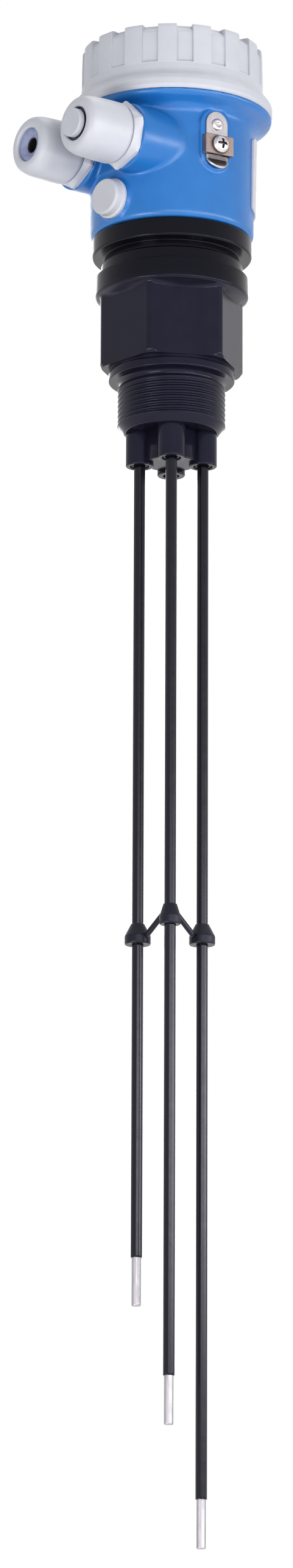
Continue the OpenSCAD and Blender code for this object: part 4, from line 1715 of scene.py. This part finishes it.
class InnerParts:
    """Nodes of the frame that keep their own shape and only get a finish."""

    nodes: dict[Finish, tuple[str, ...]] = {
        BLACK_RUBBER: ("rod_seals", "swivel_seal", "cover_seal", "gland_rings"),
        PLATED_STEEL: ("rod_nuts", "retaining_ring", "module_screws", "terminal_screws"),
        BOARD: ("contact_board", "circuit_board"),
        CABLE: ("sensor_cable",),
        MODULE: ("electronics_module",),
        BLOCK: ("terminal_block",),
        RELAY: ("relay",),
        SWITCH_CASE: ("range_switch",),
        TRIMMER_CASE: ("delay_trimmer",),
        CONTROL: ("range_slider", "trimmer_rotor"),
        LENS: ("indicator_lights",),
    }

    def build(self) -> None:
        """Puts each finish in place of the node's own material."""
        for finish, names in self.nodes.items():
            for name in names:
                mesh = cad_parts[name].data
                mesh.materials.clear()
                mesh.materials.append(finish.material())
                LOG.info("%s: %s", name, finish.name)


@dataclass(frozen=True)
class Lamp:
    """A rectangular soft lamp at a place, turned to its aim, in metres and watts."""

    name: str
    place: tuple[float, float, float]
    size: tuple[float, float]
    power: float
    aim: tuple[float, float, float] = (0, 0, -0.1)

    def build(self) -> None:
        """Makes the lamp."""
        data = bpy.data.lights.new(self.name, "AREA")
        data.shape = "RECTANGLE"
        data.size, data.size_y = self.size
        data.energy = self.power
        made = linked(self.name, data)
        made.location = self.place
        look = Vector(self.aim) - Vector(self.place)
        made.rotation_euler = look.to_track_quat("-Z", "Y").to_euler()


@dataclass
class Studio:
    """Floor, soft lamps, world and the camera of the photograph."""

    height_px: int = 2576
    focal_px: float = 10500.0
    camera_mm: tuple[float, float, float] = (-10.4, -2712.4, -854.7)
    pitch: float = 13.9
    roll: float = 0.0038
    floor_z: float = -1.05
    floor_half: float = 12.0
    floor_grey: float = 0.82
    world_light: float = 0.25
    # The two panels stand level with the housing, and the upright cylinders mirror them as bands.
    lamps: tuple[Lamp, ...] = (
        Lamp("key", (1.5, -1.7, -0.7), (1.0, 0.22), 8),
        Lamp("front_panel", (0.41, -1.55, -0.02), (1.6, 0.27), 10, (0, 0, -0.02)),
        Lamp("side_panel", (1.5, -0.55, -0.02), (1.6, 0.27), 12.5, (0, 0, -0.02)),
        Lamp("low_left", (-1.3, -1.5, -0.9), (0.9, 0.2), 20),
        Lamp("overhead", (0.2, 0.4, 2.0), (1.4, 1.4), 16),
        Lamp("back", (-0.3, 2.2, 0.4), (1.4, 1.0), 9),
    )

    def camera(self) -> None:
        """The photograph's camera, fitted to the thread, the ring ellipses and the rod tips.

        The lens is focal_px times the sensor's height over the picture's height.
        """
        data = bpy.data.cameras.new("camera")
        data.sensor_fit = "VERTICAL"
        data.sensor_height = 36.0
        data.lens = self.focal_px * data.sensor_height / self.height_px
        data.clip_end = 50
        made = linked("camera", data)
        p = math.radians(self.pitch)
        ahead, up = Vector((0, math.cos(p), math.sin(p))), Vector((0, -math.sin(p), math.cos(p)))
        right = (Vector((1, 0, 0)) + up * self.roll).normalized()
        turn = Matrix((right, right.cross(ahead), -ahead)).transposed().to_4x4()
        made.matrix_world = Matrix.Translation(Vector(self.camera_mm) * MM) @ turn
        bpy.context.scene.camera = made

    @staticmethod
    def seen_share(tree: bpy.types.NodeTree) -> bpy.types.NodeSocket:
        """Tells rays that see from rays that only light.

        Args:
            tree: the world's or material's node tree.

        Returns:
            1 for camera, glossy and transmission rays, and 0 for the others.
        """
        path, larger = add_node(tree, "LightPath").outputs, {"operation": "MAXIMUM"}
        two = add_node(tree, "Math", larger, _0=path["Is Camera Ray"], _1=path["Is Glossy Ray"])
        three = add_node(tree, "Math", larger, _0=two.outputs[0], _1=path["Is Transmission Ray"])
        return three.outputs[0]

    def world(self) -> None:
        """White where it is seen or mirrored, and a softer level where it lights."""
        world = bpy.data.worlds.new("studio")
        bpy.context.scene.world = world
        tree = emptied(world)
        seen = self.seen_share(tree)
        level = add_node(tree, "MapRange", Value=seen, To_Min=self.world_light, To_Max=1.0)
        back = add_node(tree, "Background", Color=(1, 1, 1, 1), Strength=level.outputs[0])
        add_node(tree, "OutputWorld", Surface=back.outputs[0])

    def floor(self) -> None:
        """A wide pale floor, far below the rod tips."""
        half, z, grey = self.floor_half, self.floor_z, self.floor_grey
        corners = [(-half, -half, z), (half, -half, z), (half, half, z), (-half, half, z)]
        mesh = bpy.data.meshes.new("floor")
        mesh.from_pydata(corners, [], [(0, 1, 2, 3)])
        made = linked("floor", mesh)
        material = bpy.data.materials.new("pale_floor")
        tree = emptied(material)
        matt = add_node(tree, "BsdfDiffuse", Color=(grey, grey, grey, 1))
        glow = add_node(tree, "Emission", Color=(1, 1, 1, 1), Strength=self.seen_share(tree))
        both = add_node(tree, "AddShader", _0=matt.outputs[0], _1=glow.outputs[0])
        add_node(tree, "OutputMaterial", Surface=both.outputs[0])
        mesh.materials.append(material)

    def build(self) -> None:
        """Sets up camera, world, floor and lamps, and the plain view transform."""
        bpy.context.scene.view_settings.view_transform = "Standard"
        self.camera()
        self.world()
        self.floor()
        for lamp in self.lamps:
            lamp.build()


def main() -> None:
    """Builds the studio and every piece."""
    logging.basicConfig(level=logging.INFO, format="%(name)s: %(message)s")
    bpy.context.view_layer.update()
    Studio().build()
    housing = Housing()
    for part in (
        ProcessFitting(),
        Electrode("short", 180, 414.0),
        Electrode("medium", 270, 467.0),
        Electrode("long", 0, 518.0),
        Spacer(),
        housing,
        Nameplate(housing),
        Cover(),
        CableGland(housing, Entry.PLUGGED, 17.0),
        CableGland(housing, Entry.OPEN, -30.0),
        VentCap(housing),
        GroundTerminal(housing),
        InnerParts(),
    ):
        LOG.info("building %s", type(part).__name__)
        part.build()


if __name__ == "__main__":
    main()
